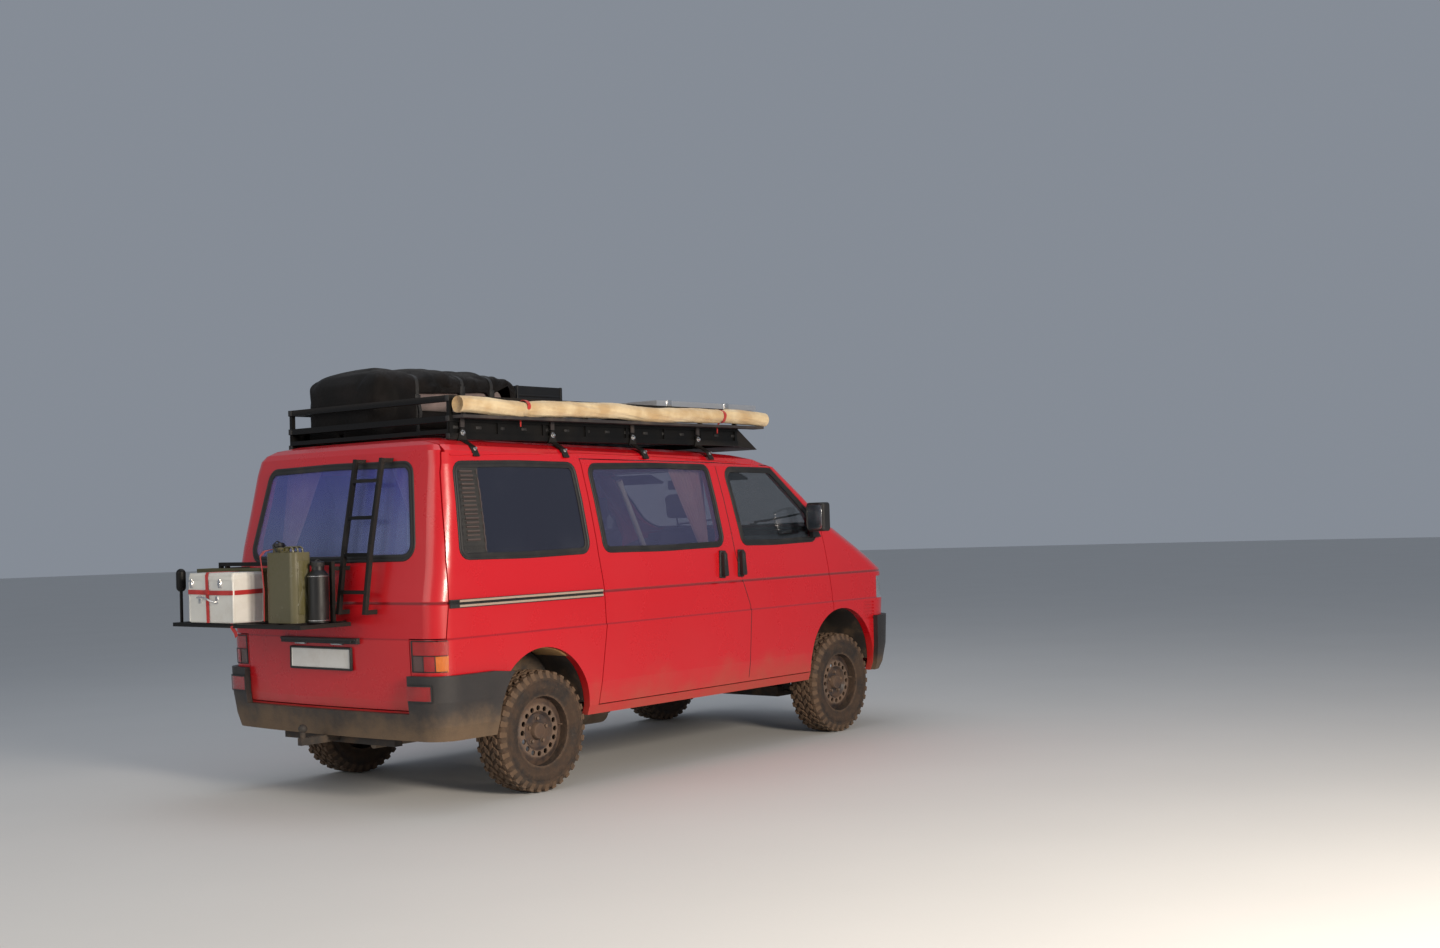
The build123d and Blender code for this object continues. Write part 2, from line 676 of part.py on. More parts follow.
def front_suspension():
    """Cross member with an upper and a lower arm to each knuckle and the drive shafts."""
    pieces = [block((wheelbase - 90, wheelbase + 90), (-400, 400), (hub_z - 112, hub_z - 42))]
    pieces.append(block((wheelbase - 40, wheelbase + 40), (-420, 420),
                        (hub_z - 60, floor_bottom - chassis_rail[1])))
    for side in (1, -1):
        for up, inner_z in ((-1, hub_z - 80), (1, hub_z + 34)):
            near = hub_z + up * (kingpin_half_length + ball_joint_gap)
            far = near + up * ball_joint_height
            pieces.append(rod((wheelbase, side * kingpin_y, near), (wheelbase, side * kingpin_y, far), 22))
            pieces.append(bar((wheelbase, side * kingpin_y, far - up * 6),
                              (wheelbase, side * 395, inner_z), 40, 16))
    pieces.append(rod((wheelbase, -drive_shaft_end_y, hub_z), (wheelbase, drive_shaft_end_y, hub_z), 16))
    return pieces[0].fuse(*pieces[1:])


def rear_suspension():
    """Cross tube, two trailing arms and the rear stub axles."""
    cross = rod((cross_tube_x, -450, cross_tube_z), (cross_tube_x, 450, cross_tube_z), cross_tube_radius)
    pieces = [cross]
    for side in (1, -1):
        pieces.append(block((cross_tube_x - 35, cross_tube_x + 35),
                            (side * chassis_rail_y - 35, side * chassis_rail_y + 35),
                            (cross_tube_z, floor_bottom - chassis_rail[1])))
        pieces.append(bar((cross_tube_x, side * 420, cross_tube_z), (0, side * 610, hub_z), 50, 52))
        pieces.append(rod((0, side * 560, hub_z), (0, side * (rear_track / 2 - 60), hub_z), 52))
        pieces.append(rod((0, side * 600, hub_z), (0, side * (rear_track / 2 + rim_face_y + 10), hub_z),
                          axle_stub_radius))
    return cross.fuse(*pieces[1:])


parts["front_axle"] = front_suspension()
parts["rear_axle"] = rear_suspension()

# Engine, tank and exhaust
parts["engine"] = block(engine_x, (-engine_half_width, engine_half_width), engine_z)
tank = block(tank_x, tank_y, tank_z)
silencer = rod((silencer_x[0], exhaust_y, exhaust_z), (silencer_x[1], exhaust_y, exhaust_z), 85)
pipe = rod((exhaust_x[0], exhaust_y, exhaust_z), (exhaust_x[1], exhaust_y, exhaust_z), 24)
hangers = [block((x, x + 24), (exhaust_y - 8, exhaust_y + 8), (exhaust_z, floor_bottom))
           for x in exhaust_hangers_x]
parts["exhaust"] = pipe.fuse(silencer, *hangers)
parts["fuel_tank"] = tank

# Tow bar under the rear bumper
tow_beam = block((-745, -690), (-480, 480), (tow_z - 30, tow_z + 30))
tow_arms = [block((-745, -560), (side * chassis_rail_y - 30, side * chassis_rail_y + 30),
                  (tow_z + 20, floor_bottom - chassis_rail[1])) for side in (1, -1)]
tow_neck = bar((-740, 0, tow_z), (tow_neck_end, 0, tow_z), 34, 40)
tow_pin = rod((tow_ball_x, 0, tow_z - 12), (tow_ball_x, 0, tow_z + 60), 15)
tow_ball = Pos(tow_ball_x, 0, tow_z + 70) * Sphere(25)
parts["tow_bar"] = tow_beam.fuse(*tow_arms, tow_neck, tow_pin, tow_ball)

# Cab and camper inside
dashboard = lining & side_prism(dash_outline, -810, 810)
wheel_place = Pos(*steering_wheel_at) * Rot(0, -steering_wheel_lean, 0)
steering_rim = wheel_place * Torus(190, 14)
spokes = [wheel_place * Rot(0, 0, angle) * Pos(92, 0, 0) * Box(184, 34, 14) for angle in (0, 90, 180, 270)]
column = wheel_place * Pos(0, 0, -160) * Cylinder(26, 330)
column -= side_prism(dash_outline, -810, 810, 0, seat_gap)
column = column.solids().sort_by(Axis.Z)[-1]
parts["cab_controls"] = group([dashboard, steering_rim.fuse(*spokes, column)])


def front_seat(side):
    """Seat with its box on the floor, cushion, back and head rest."""
    y = (side * 420 - 245, side * 420 + 245)
    outline = [(1820, 830), (2370, 850), (2385, 955), (2330, 975), (1975, 930), (1860, 1480),
               (1748, 1462)]
    cushion = side_prism(outline, *y, 22)
    pedestal = block((1880, 2280), (y[0] + 50, y[1] - 50), (floor_top, 850))
    rest_y = (side * 420 - 130, side * 420 + 130)
    rest = side_prism([(1752, 1505), (1845, 1520), (1815, 1690), (1728, 1675)], *rest_y, 20)
    posts = [rod((1800, side * 420 + dy, 1450), (1788, side * 420 + dy, 1540), 7) for dy in (-70, 70)]
    return pedestal.fuse(cushion, rest, *posts)


parts["front_seats"] = group([front_seat(1), front_seat(-1)])
bed_base = block(bed_x, (-bed_half_width, bed_half_width), (floor_top, bed_base_top))
cabinet = block(cabinet_x, cabinet_y, (floor_top, cabinet_top))
parts["furniture"] = group([bed_base, cabinet])
parts["mattress"] = (lining & block(bed_x, (-780, 780), (bed_base_top + seat_gap, mattress_top))) & block(
    (-2000, 4000), (-770, 770), (0, 2000))

near_lining = cabin_solid(wall + seat_gap, sill_bottom, inner_roof_drop + seat_gap)
curtains = [near_lining & end_prism([(side * 560, 1330), (side * 690, 1330), (side * 640, 1960),
                                     (side * 420, 1960)], *rear_curtain_x) for side in (1, -1)]
curtains.append(near_lining & side_prism([(1500, 1320), (1640, 1320), (1600, 1960), (1400, 1960)],
                                         *side_curtain_y))
parts["curtains"] = group(curtains)

# Door mirrors and handles
def door_fittings(side):
    """Mirror on its arm and the upright handle of one front door."""
    y = LEFT if side > 0 else RIGHT
    head = fillet(block(mirror_x, (side * mirror_y[0], side * mirror_y[1]), mirror_z).edges(), 18)
    arm = bar((mirror_arm_x, side * mirror_foot_y, 1425),
              (sum(mirror_x) / 2, side * (mirror_y[0] + 25), 1440), 34)
    foot = (body_solid(-30) - body_solid(-seat_gap)) & side_prism(mirror_foot, *y)
    grip = (body_solid(-38) - body_solid(-seat_gap)) & side_prism(door_grip, *y, 12)
    return group([foot.fuse(arm, head), grip])


parts["door_fittings_left"] = door_fittings(1)
parts["door_fittings_right"] = door_fittings(-1)
rail_skin = body_solid(-12) - body_solid(-seat_gap)
slide_rail = rail_skin & block(slide_rail_x, RIGHT, slide_rail_z)
slide_grip = (body_solid(-38) - body_solid(-seat_gap)) & side_prism(slide_handle, *RIGHT, 12)
parts["slide_fittings"] = group([slide_rail, slide_grip])

# Roof rack
def along_rack(count):
    """Middles of evenly spaced cross pieces from one end of the rack to the other."""
    first = rack_rear + rack_rail / 2
    last = rack_front - rack_rail / 2
    return [first + (last - first) * i / (count - 1) for i in range(count)]


def rack_foot(x, side):
    """Bent strap over the roof edge with a bracket on the outside of the low rail."""
    spots = [(x, side * y, z) for y, z in foot_strap]
    straps = [bar(a, b, 46, 8) for a, b in zip(spots, spots[1:])]
    face_y = side * (rack_half_width + rack_rail / 2)
    bracket = side_prism([(x - 36, 1976), (x + 36, 1976), (x + 12, 2046), (x - 12, 2046)],
                         face_y - side * 4, face_y + side * 8)
    return straps + [bracket]


def roof_rack():
    """Tray of square tube with plated sides and an open rail above, on clamp feet."""
    pieces = []
    for side in (1, -1):
        y = side * rack_half_width
        for z in (rack_low_z, rack_mid_z, rack_high_z):
            pieces.append(bar((rack_rear, y, z), (rack_front, y, z), rack_rail))
        for x in along_rack(rack_posts):
            pieces.append(bar((x, y, rack_low_z), (x, y, rack_high_z), rack_post))
        pieces.append(block((rack_rear, rack_front), (y - side_plate / 2, y + side_plate / 2),
                            (rack_low_z, rack_mid_z)))
        for x in rack_feet:
            pieces += rack_foot(x, side)
    for x in along_rack(rack_bars):
        pieces.append(bar((x, -rack_half_width, rack_floor_z), (x, rack_half_width, rack_floor_z),
                          rack_rail, deck_depth))
    for x in along_rack(2):
        for z in (rack_mid_z, rack_high_z):
            pieces.append(bar((x, -rack_half_width, z), (x, rack_half_width, z), rack_rail))
    return pieces[0].fuse(*pieces[1:]) - body_solid(-seat_gap)


fairing = side_prism(fairing_outline, -rack_half_width, rack_half_width) - body_solid(-seat_gap)
parts["roof_rack"] = group([roof_rack(), fairing])
rack_side_y = -rack_half_width - rack_rail / 2 - seat_gap
shelf = block(shelf_x, (shelf_outer_y, rack_side_y), shelf_z)
brackets = [block((x - 15, x + 15), (rack_side_y - 9, rack_side_y), (shelf_bracket_bottom, shelf_z[0]))
            for x in rack_feet]
parts["awning_shelf"] = shelf.fuse(*brackets)
deck_top = rack_floor_z + deck_depth / 2 + seat_gap
rack_top = rack_high_z + rack_rail / 2 + seat_gap
parts["tent_pack"] = fillet(block(tent_x, tent_y, (deck_top, tent_top)).edges(), 40)
roll_z = shelf_z[1] + seat_gap + roll_radius
parts["awning_roll"] = rod((roll_x[0], roll_y, roll_z), (roll_x[1], roll_y, roll_z), roll_radius)
parts["roof_panel"] = block(panel_x, (-panel_half_width, panel_half_width),
                            (rack_top, rack_top + panel_thickness))
parts["roof_case"] = block(case_x, case_y, (deck_top, case_top))

# Ladder and carrier on the tailgate
def tail_x(z):
    """Rear face of the body at the middle, at one height."""
    pairs = [(level[0], level[2]) for level in LEVELS]
    for (z0, x0), (z1, x1) in zip(pairs, pairs[1:]):
        if z0 <= z <= z1:
            return x0 + (x1 - x0) * (z - z0) / (z1 - z0)
    return pairs[-1][1]


def ladder():
    """Two rails that follow the tailgate, with rungs and stand-off feet."""
    pieces = []
    heights = (ladder_bottom_z, 1418, ladder_top_z)
    for y in ladder_rails_y:
        spots = [(tail_x(z) - ladder_standoff, y, z) for z in heights]
        for a, b in zip(spots, spots[1:]):
            pieces.append(bar(a, b, ladder_tube))
        for z in (ladder_bottom_z + 12, ladder_top_z - 12):
            skin = tail_x(z)
            pieces.append(bar((skin - ladder_standoff, y, z), (skin + ladder_foot_reach, y, z), ladder_tube))
    for i in range(ladder_rungs):
        z = ladder_bottom_z + 20 + (ladder_top_z - ladder_bottom_z - 40) * (i + 0.5) / ladder_rungs
        x = tail_x(z) - ladder_standoff
        pieces.append(bar((x, ladder_rails_y[0], z), (x, ladder_rails_y[1], z), ladder_tube - 4))
    return pieces[0].fuse(*pieces[1:]) - body_solid(-seat_gap)


def carrier():
    """Tray of square tube with a frame standing along its inner side, hung on the tailgate by four feet."""
    pieces = []
    corners = [(carrier_inner_x, carrier_left_y), (carrier_outer_x, carrier_left_y),
               (carrier_outer_x, carrier_right_y), (carrier_inner_x, carrier_right_y)]
    for i, (x, y) in enumerate(corners):
        next_x, next_y = corners[(i + 1) % 4]
        pieces.append(bar((x, y, carrier_z), (next_x, next_y, carrier_z), carrier_tube))
    half_tube = carrier_tube / 2
    for x, y in corners:
        pieces.append(bar((x, y, carrier_z - half_tube), (x, y, carrier_z + half_tube), carrier_tube))
    for i in range(1, carrier_slats):
        y = carrier_right_y + (carrier_left_y - carrier_right_y) * i / carrier_slats
        z = carrier_z + slat_rise
        pieces.append(bar((carrier_outer_x, y, z), (carrier_inner_x, y, z), carrier_tube))
    frame_ends = (carrier_left_y, carrier_frame_right_y)
    for y in frame_ends:
        pieces.append(bar((carrier_inner_x, y, carrier_z), (carrier_inner_x, y, carrier_rail_z + half_tube),
                          carrier_tube))
    pieces.append(bar((carrier_inner_x, frame_ends[0], carrier_rail_z),
                      (carrier_inner_x, frame_ends[1], carrier_rail_z), carrier_tube))
    for y in carrier_feet_y:
        pieces.append(bar((carrier_inner_x, y, carrier_feet_z[1]), (carrier_inner_x, y, carrier_rail_z),
                          carrier_tube))
        for z in carrier_feet_z:
            pieces.append(bar((carrier_inner_x, y, z), (tail_x(z) + carrier_foot_reach, y, z), carrier_tube))
    low, high = post_head_z
    pieces.append(rod((post_x, carrier_left_y, carrier_z), (post_x, carrier_left_y, low), 9))
    pieces.append(rod((post_x, carrier_left_y, low), (post_x, carrier_left_y, high), 27))
    pieces += [Pos(post_x, carrier_left_y, z) * Sphere(27) for z in post_head_z]
    return pieces[0].fuse(*pieces[1:]) - body_solid(-seat_gap)


parts["ladder"] = ladder()
parts["carrier"] = carrier()
tray_top = carrier_z + slat_rise + carrier_tube / 2 + seat_gap
parts["storage_box"] = fillet(block(box_x, box_y, (tray_top, box_top)).edges(), 12)
can = block(can_x, can_y, (tray_top, can_top))
can_cap = block((can_x[0] + 34, can_x[1] - 34), (can_y[1] - 80, can_y[1] - 30), (can_top, can_cap_top))
parts["can"] = fillet(can.edges().filter_by(Axis.Z), 36).fuse(can_cap)
crate_hollow = block((crate_x[0] + crate_wall, crate_x[1] - crate_wall),
                     (crate_y[0] + crate_wall, crate_y[1] - crate_wall), (tray_top + 40, 1400))
parts["crate"] = block(crate_x, crate_y, (tray_top, crate_top)) - crate_hollow
flask_outline = [(0, tray_top), (flask_radius, tray_top), (flask_radius, flask_top - 62),
                 (34, flask_top - 38), (34, flask_top), (0, flask_top)]
flask_face = face_from([(r, 0, z) for r, z in flask_outline])
parts["flask"] = Pos(*flask_at, 0) * revolve(flask_face, Axis.Z, 360)
parts["number_plate"] = block(plate_x, (-plate_half_width, plate_half_width), plate_z)
parts["plate_garnish"] = (body_solid(-26) - body_solid(-seat_gap)) & block(
    (-1000, -700), (-garnish_half_width, garnish_half_width), garnish_z)

boxes = [shape.bounding_box() for shape in parts.values()]
overall_centre_x = (min(box.min.X for box in boxes) + max(box.max.X for box in boxes)) / 2
print(f"overall middle at x = {overall_centre_x:.2f} from the rear axle")
for name, shape in parts.items():
    placed = Pos(-overall_centre_x, 0, 0) * shape
    export_step(placed, f"parts/{name}.step")
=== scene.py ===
"""Looks of the camper van, dressed around its CAD frame.

Metres, +X forward, +Y left, +Z up. Places come from the frame's own boxes and skins, or are written from
AXLE, the rear axle's x, with y from the van's middle and z from the ground.
"""

import math

import bmesh
import bpy
from mathutils import Matrix, Vector, noise
from mathutils.bvhtree import BVHTree
from mathutils.geometry import convex_hull_2d


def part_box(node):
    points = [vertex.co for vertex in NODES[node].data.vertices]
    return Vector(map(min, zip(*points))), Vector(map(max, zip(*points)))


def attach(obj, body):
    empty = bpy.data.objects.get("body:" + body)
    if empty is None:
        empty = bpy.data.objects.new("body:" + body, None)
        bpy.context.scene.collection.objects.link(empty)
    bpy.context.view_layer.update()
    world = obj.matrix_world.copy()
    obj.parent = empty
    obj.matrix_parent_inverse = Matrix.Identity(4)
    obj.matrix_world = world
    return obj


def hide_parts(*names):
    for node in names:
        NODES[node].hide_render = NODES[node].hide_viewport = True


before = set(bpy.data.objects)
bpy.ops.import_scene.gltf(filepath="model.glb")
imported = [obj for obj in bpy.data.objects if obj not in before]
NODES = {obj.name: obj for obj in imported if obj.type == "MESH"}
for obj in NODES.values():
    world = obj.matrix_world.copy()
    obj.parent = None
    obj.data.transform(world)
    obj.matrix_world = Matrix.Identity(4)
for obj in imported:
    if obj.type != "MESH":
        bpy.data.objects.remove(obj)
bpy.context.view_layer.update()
SIDES = {"right": -1, "left": 1}


def middle(node):
    """Middle of one CAD node's box."""
    low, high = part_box(node)
    return (low + high) / 2


AXLE = middle("tyre_rear_right").x
REAR_WINDOW_END = AXLE + 0.42
MIDDLE_WINDOW_END = AXLE + 1.7
SCREEN_START = AXLE + 2.2
UPPER_CREASE, LOWER_CREASE = 1.102, 0.911


# Finishes: how a shader is written

class Value:
    """A number or colour inside a shader. Its operators add the Math nodes that work a number out."""

    def __init__(self, finish, socket):
        self.finish = finish
        self.socket = socket

    def _join(self, operation, first, second):
        return self.finish.step("Math", {0: first, 1: second}, operation=operation)

    def __add__(self, other):
        return self._join("ADD", self, other)

    __radd__ = __add__

    def __sub__(self, other):
        return self._join("SUBTRACT", self, other)

    def __rsub__(self, other):
        return self._join("SUBTRACT", other, self)

    def __mul__(self, other):
        return self._join("MULTIPLY", self, other)

    __rmul__ = __mul__

    def __gt__(self, other):
        return self._join("GREATER_THAN", self, other)

    def __lt__(self, other):
        return self._join("LESS_THAN", self, other)

    def __abs__(self):
        return self.finish.step("Math", {0: self}, operation="ABSOLUTE")


class Finish:
    """One material. step() adds any node, and the rest are the steps that a finish uses often."""

    def __init__(self, name):
        self.material = bpy.data.materials.new(name)
        self.material.use_nodes = True
        self.tree = self.material.node_tree
        self.tree.nodes.clear()
        self.here = self.step("TexCoord", out="Object")
        axes = self.step("SeparateXYZ", {0: self.here}).socket.node
        self.x, self.y, self.z = (Value(self, socket) for socket in axes.outputs)

    def step(self, kind, sockets=None, out=0, stops=(), **settings):
        """Adds a node: its settings and ramp stops first, then its sockets' values or links."""
        node = self.tree.nodes.new("ShaderNode" + kind)
        for key, value in settings.items():
            setattr(node, key, value)
        for place, (at, colour) in enumerate(stops):
            ramp = node.color_ramp.elements
            stop = ramp[place] if place < 2 else ramp.new(at)
            stop.position = at
            stop.color = (*colour[:3], 1)
        for key, value in (sockets or {}).items():
            if isinstance(value, Value):
                self.tree.links.new(value.socket, node.inputs[key])
            else:
                node.inputs[key].default_value = value
        return Value(self, node.outputs[out] if node.outputs else None)

    def mix(self, share, first, second):
        """Colour between two colours."""
        first, second = ((*c, 1) if isinstance(c, tuple) else c for c in (first, second))
        return self.step("Mix", {0: share, 6: first, 7: second}, out=2, data_type="RGBA")

    def noise(self, scale, detail=3, rough=0.5):
        """Soft patches, from 0 to 1."""
        sockets = {"Vector": self.here, "Scale": scale, "Detail": detail, "Roughness": rough}
        return self.step("TexNoise", sockets)

    def cells(self, scale, feature="F1"):
        """Grains: 0 in the middle of each one, more towards its rim."""
        return self.step("TexVoronoi", {"Vector": self.here, "Scale": scale}, feature=feature)

    def waves(self, scale, along):
        """Even ridges across one axis, from 0 to 1."""
        return self.step("TexWave", {"Vector": self.here, "Scale": scale}, out=1, bands_direction=along)

    def rise(self, value, start, end):
        """0 where the value is at start, 1 at end, smooth between."""
        sockets = {"Value": value, 1: start, 2: end}
        return self.step("MapRange", sockets, interpolation_type="SMOOTHSTEP")

    def worn(self, amount):
        """Rubbed edges: high where the surface bends outward."""
        point = self.step("NewGeometry", out="Pointiness")
        return self.rise(point + (self.noise(60) - 0.5) * 0.05, 0.52, 0.60) * amount

    def mud(self, low, high, scale):
        """Share of dried mud: whole at the low height, none at the high one, torn between."""
        torn = self.noise(scale, 6, 0.65) - 0.5
        return self.rise(self.z + torn * (high - low) * 1.6, high, low)

    def surface(self, colour, rough, bump, depth, **others):
        """Ends the finish. The shader's other sockets are given by name, with _ for each space."""
        sockets = {"Base Color": colour, "Roughness": rough}
        sockets.update({key.replace("_", " "): value for key, value in others.items()})
        sockets["Normal"] = self.step("Bump", {"Height": bump, "Distance": depth})
        shader = self.step("BsdfPrincipled", sockets)
        self.step("OutputMaterial", {0: shader})
        return self.material


DRY_MUD = (0.23, 0.15, 0.085)
DUST = (0.33, 0.21, 0.13)


def red_paint():
    """Old red enamel under a thin film of dust, muddy low down, with painted shade as dark lines in the
    side's two creases.
    """
    f = Finish("red_paint")
    dirt = f.mud(0.32, 0.66, 3.5)
    film = f.rise(f.noise(2.2, 5), 0.40, 0.75)
    colour = f.mix(f.noise(1.3), (0.50, 0.004, 0.009), (0.56, 0.006, 0.013))
    colour = f.mix(film * 0.04, colour, (0.34, 0.04, 0.035))
    # Painted shade: dark lines along the two creases, where shadow falls into the grooves.
    crease_shade = f.rise(abs(f.z - UPPER_CREASE), 0.011, 0.004) * 0.7
    crease_shade = crease_shade + f.rise(abs(f.z - LOWER_CREASE), 0.007, 0.002) * 0.4
    colour = f.mix(crease_shade, colour, (0.09, 0.002, 0.004))
    colour = f.mix(dirt * 0.42, colour, (0.26, 0.14, 0.09))
    rough = 0.24 + dirt * 0.42 + film * 0.10 + f.noise(85) * 0.04
    bump = f.noise(320, 1) * 0.1 + f.noise(40) * dirt
    return f.surface(colour, rough, bump, 0.0006, Coat_Weight=(1 - dirt) * 0.55, Coat_Roughness=0.16)


def moulded_plastic(name, colour, pale, low, high):
    """Grained dark plastic, bleached in patches and muddy low down."""
    f = Finish(name)
    dirt = f.mud(low, high, 5.0)
    bleached = f.rise(f.noise(3.0, 4), 0.45, 0.8)
    grain = f.cells(700)
    tone = f.mix(bleached * 0.5, colour, pale)
    tone = f.mix(f.noise(38, 4) * 0.45, tone, tuple(c * 0.5 for c in colour))
    tone = f.mix(dirt * 0.62, tone, DRY_MUD)
    rough = 0.48 + bleached * 0.12 + dirt * 0.3
    return f.surface(tone, rough, grain + f.noise(55, 5) * dirt * 4, 0.0007)


def black_steel():
    """Powder coat with rubbed edges."""
    f = Finish("black_steel")
    worn = f.worn(0.6)
    dusty = f.rise(f.noise(5, 4), 0.45, 0.8)
    colour = f.mix(dusty * 0.05, (0.004, 0.004, 0.004), (0.06, 0.045, 0.036))
    colour = f.mix(worn, colour, (0.026, 0.023, 0.021))
    return f.surface(colour, 0.42 + dusty * 0.2, f.noise(600, 2), 0.0003, Specular_IOR_Level=0.22)


def rubber():
    """Black rubber, chalky where the sun has dried it."""
    f = Finish("seal_rubber")
    chalky = f.rise(f.noise(9, 5), 0.45, 0.85)
    colour = f.mix(chalky * 0.4, (0.010, 0.010, 0.011), (0.06, 0.055, 0.05))
    return f.surface(colour, 0.55 + chalky * 0.2, f.noise(260), 0.0004)


def tyre_rubber():
    """Tread and walls with dried mud in every hollow."""
    f = Finish("tyre_rubber")
    caked = f.rise(f.noise(7, 6, 0.6), 0.36, 0.58)
    crumbs = f.noise(60, 5)
    colour = f.mix(caked * 0.8, (0.012, 0.010, 0.010), (0.065, 0.039, 0.025))
    colour = f.mix(crumbs * 0.35, colour, (0.05, 0.032, 0.02))
    dry = f.rise(f.step("NewGeometry", out="Pointiness") + (f.noise(45, 4) - 0.5) * 0.10, 0.50, 0.60)
    colour = f.mix(dry * 0.34, colour, (0.26, 0.165, 0.10))
    return f.surface(colour, 0.72 + caked * 0.2, crumbs + caked * 2, 0.002)


def wheel_steel():
    """Dark painted steel, rubbed at its edges and caked with mud."""
    f = Finish("wheel_steel")
    caked = f.rise(f.noise(11, 6, 0.6), 0.36, 0.62)
    crumbs = f.noise(90, 5)
    colour = f.mix(caked * 0.8, (0.030, 0.024, 0.024), (0.105, 0.062, 0.040))
    colour = f.mix(f.worn(0.5), colour, (0.24, 0.16, 0.11))
    return f.surface(colour, 0.45 + caked * 0.4, crumbs * caked, 0.0015)


def door_pane():
    """Front door glass: smeared dust over a dark tint."""
    f = Finish("door_window_glass")
    smear = f.rise(f.noise(2.6, 6), 0.42, 0.9)
    tone = f.mix(smear * 0.16, (0.012, 0.016, 0.020), (0.18, 0.20, 0.26))
    return f.surface(tone, 0.02 + smear * 0.16, f.noise(3, 1), 0.0004, Alpha=0.45 + smear * 0.12,
                     Coat_Weight=1.0, Coat_Roughness=0.02, IOR=1.5)


def side_panes():
    """The rear side panes nearly black, the middle ones blue-grey, the windscreen clear. The middle panes'
    blue is partly tint and partly a painted reflection of the sky.
    """
    f = Finish("side_glass")
    smear = f.rise(f.noise(2.6, 6), 0.42, 0.9)
    rear = f.x < REAR_WINDOW_END
    front = f.x > SCREEN_START
    # Painted reflection: the middle panes' blue-grey stands partly for the sky reflected in them.
    tone = f.mix(rear, (0.055, 0.062, 0.140), (0.012, 0.014, 0.028))
    tone = f.mix(front, tone, (0.030, 0.045, 0.045))
    tone = f.mix(smear * 0.12, tone, (0.16, 0.17, 0.20))
    alpha = 0.46 + rear * 0.46 - front * 0.26 + smear * 0.06
    return f.surface(tone, 0.03 + smear * 0.14, f.noise(3, 1), 0.0004, Alpha=alpha, Coat_Weight=0.6,
                     Coat_Roughness=0.02)


def rear_pane():
    """Tailgate glass: blue, paler towards its foot, wiped clean in the middle. The blue is partly tint and
    partly a painted reflection of the sky; its paling towards the foot is painted reflection.
    """
    f = Finish("rear_glass")
    smear = f.rise(f.noise(2.2, 6), 0.40, 0.85)
    # Painted reflection: the sky's blue, deep at the top and paler towards the foot, is painted into the
    # glass colour.
    tone = f.mix(f.rise(f.z, 1.86, 1.38), (0.100, 0.120, 0.480), (0.190, 0.240, 0.520))
    tone = f.mix(smear * 0.10, tone, (0.30, 0.32, 0.38))
    return f.surface(tone, 0.03 + smear * 0.12, f.noise(3, 1), 0.0004, Alpha=0.42 + smear * 0.06,
                     Coat_Weight=0.8, Coat_Roughness=0.02)


def lamp_lens(name, colour, ribs=120.0, metal=0.0):
    """Moulded lens: fine flutes and a darker bowl below a clear skin."""
    f = Finish(name)
    flutes = f.waves(ribs, "Y") * 0.6 + f.waves(ribs, "Z")
    tone = f.mix(f.noise(40) * 0.35, colour, tuple(c * 0.45 for c in colour))
    bowl = f.cells(9.0, feature="SMOOTH_F1")
    tone = f.mix(f.rise(bowl, 0.25, 0.75) * 0.55, tone, tuple(c * 0.30 for c in colour))
    return f.surface(tone, 0.12, flutes, 0.0012, Metallic=metal, Coat_Weight=1.0, Coat_Roughness=0.03)


def tail_lens():
    """Red over the top; below, smoked clear inboard, red, and amber round the corner."""
    f = Finish("tail_lens")
    low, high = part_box("tail_lamps")
    amber_width, coloured_width = 0.048, 0.118
    upper = f.z > low.z + (high.z - low.z) * 0.52
    reach = abs(f.y)
    outer = reach > high.y - amber_width
    inner = reach < high.y - coloured_width
    red, amber, smoke = (0.50, 0.006, 0.008), (0.85, 0.20, 0.01), (0.13, 0.075, 0.07)
    lower_band = f.mix(outer, f.mix(inner, red, smoke), amber)
    tone = f.mix(upper, lower_band, red)
    tone = f.mix(f.noise(30) * 0.3, tone, (0.10, 0.01, 0.01))
    flutes = f.waves(70, "Z") + f.waves(55, "Y")
    return f.surface(tone, 0.14, flutes, 0.0015, Coat_Weight=1.0, Coat_Roughness=0.03)


def cloth(name, colour, shade, weave=900.0, sheen=0.3, rough=0.85, folds=0.0, gloss=0.5):
    """Woven cloth: threads both ways, and a slow fade of the colour."""
    f = Finish(name)
    threads = f.waves(weave, "X") + f.waves(weave, "Y") + f.waves(weave, "Z")
    fade = f.noise(6, 5)
    tone = f.mix(f.rise(fade, 0.35, 0.7), shade, colour)
    tone = f.mix(f.noise(240, 2) * 0.22, tone, tuple(c * 0.5 for c in colour))
    bump = threads * 0.12 + f.noise(26, 4) * folds
    return f.surface(tone, rough, bump, 0.002, Sheen_Weight=sheen, Sheen_Roughness=0.5,
                     Specular_IOR_Level=gloss)


def plain_paint(name, colour, dirt_colour=DUST, dirt=0.3, rough=0.35, metal=0.0, scale=7.0, wear=0.0):
    """Paint, plastic or bare metal with dirt in patches and rubbed edges."""
    f = Finish(name)
    dirty = f.rise(f.noise(scale, 6, 0.6), 0.45, 0.78)
    tone = f.mix(f.noise(scale * 3) * 0.3, colour, tuple(c * 0.72 for c in colour))
    tone = f.mix(dirty * dirt, tone, dirt_colour)
    if wear:
        tone = f.mix(f.worn(wear), tone, (0.24, 0.23, 0.21))
    return f.surface(tone, rough + dirty * 0.3, f.noise(180, 3), 0.0004, Metallic=metal)


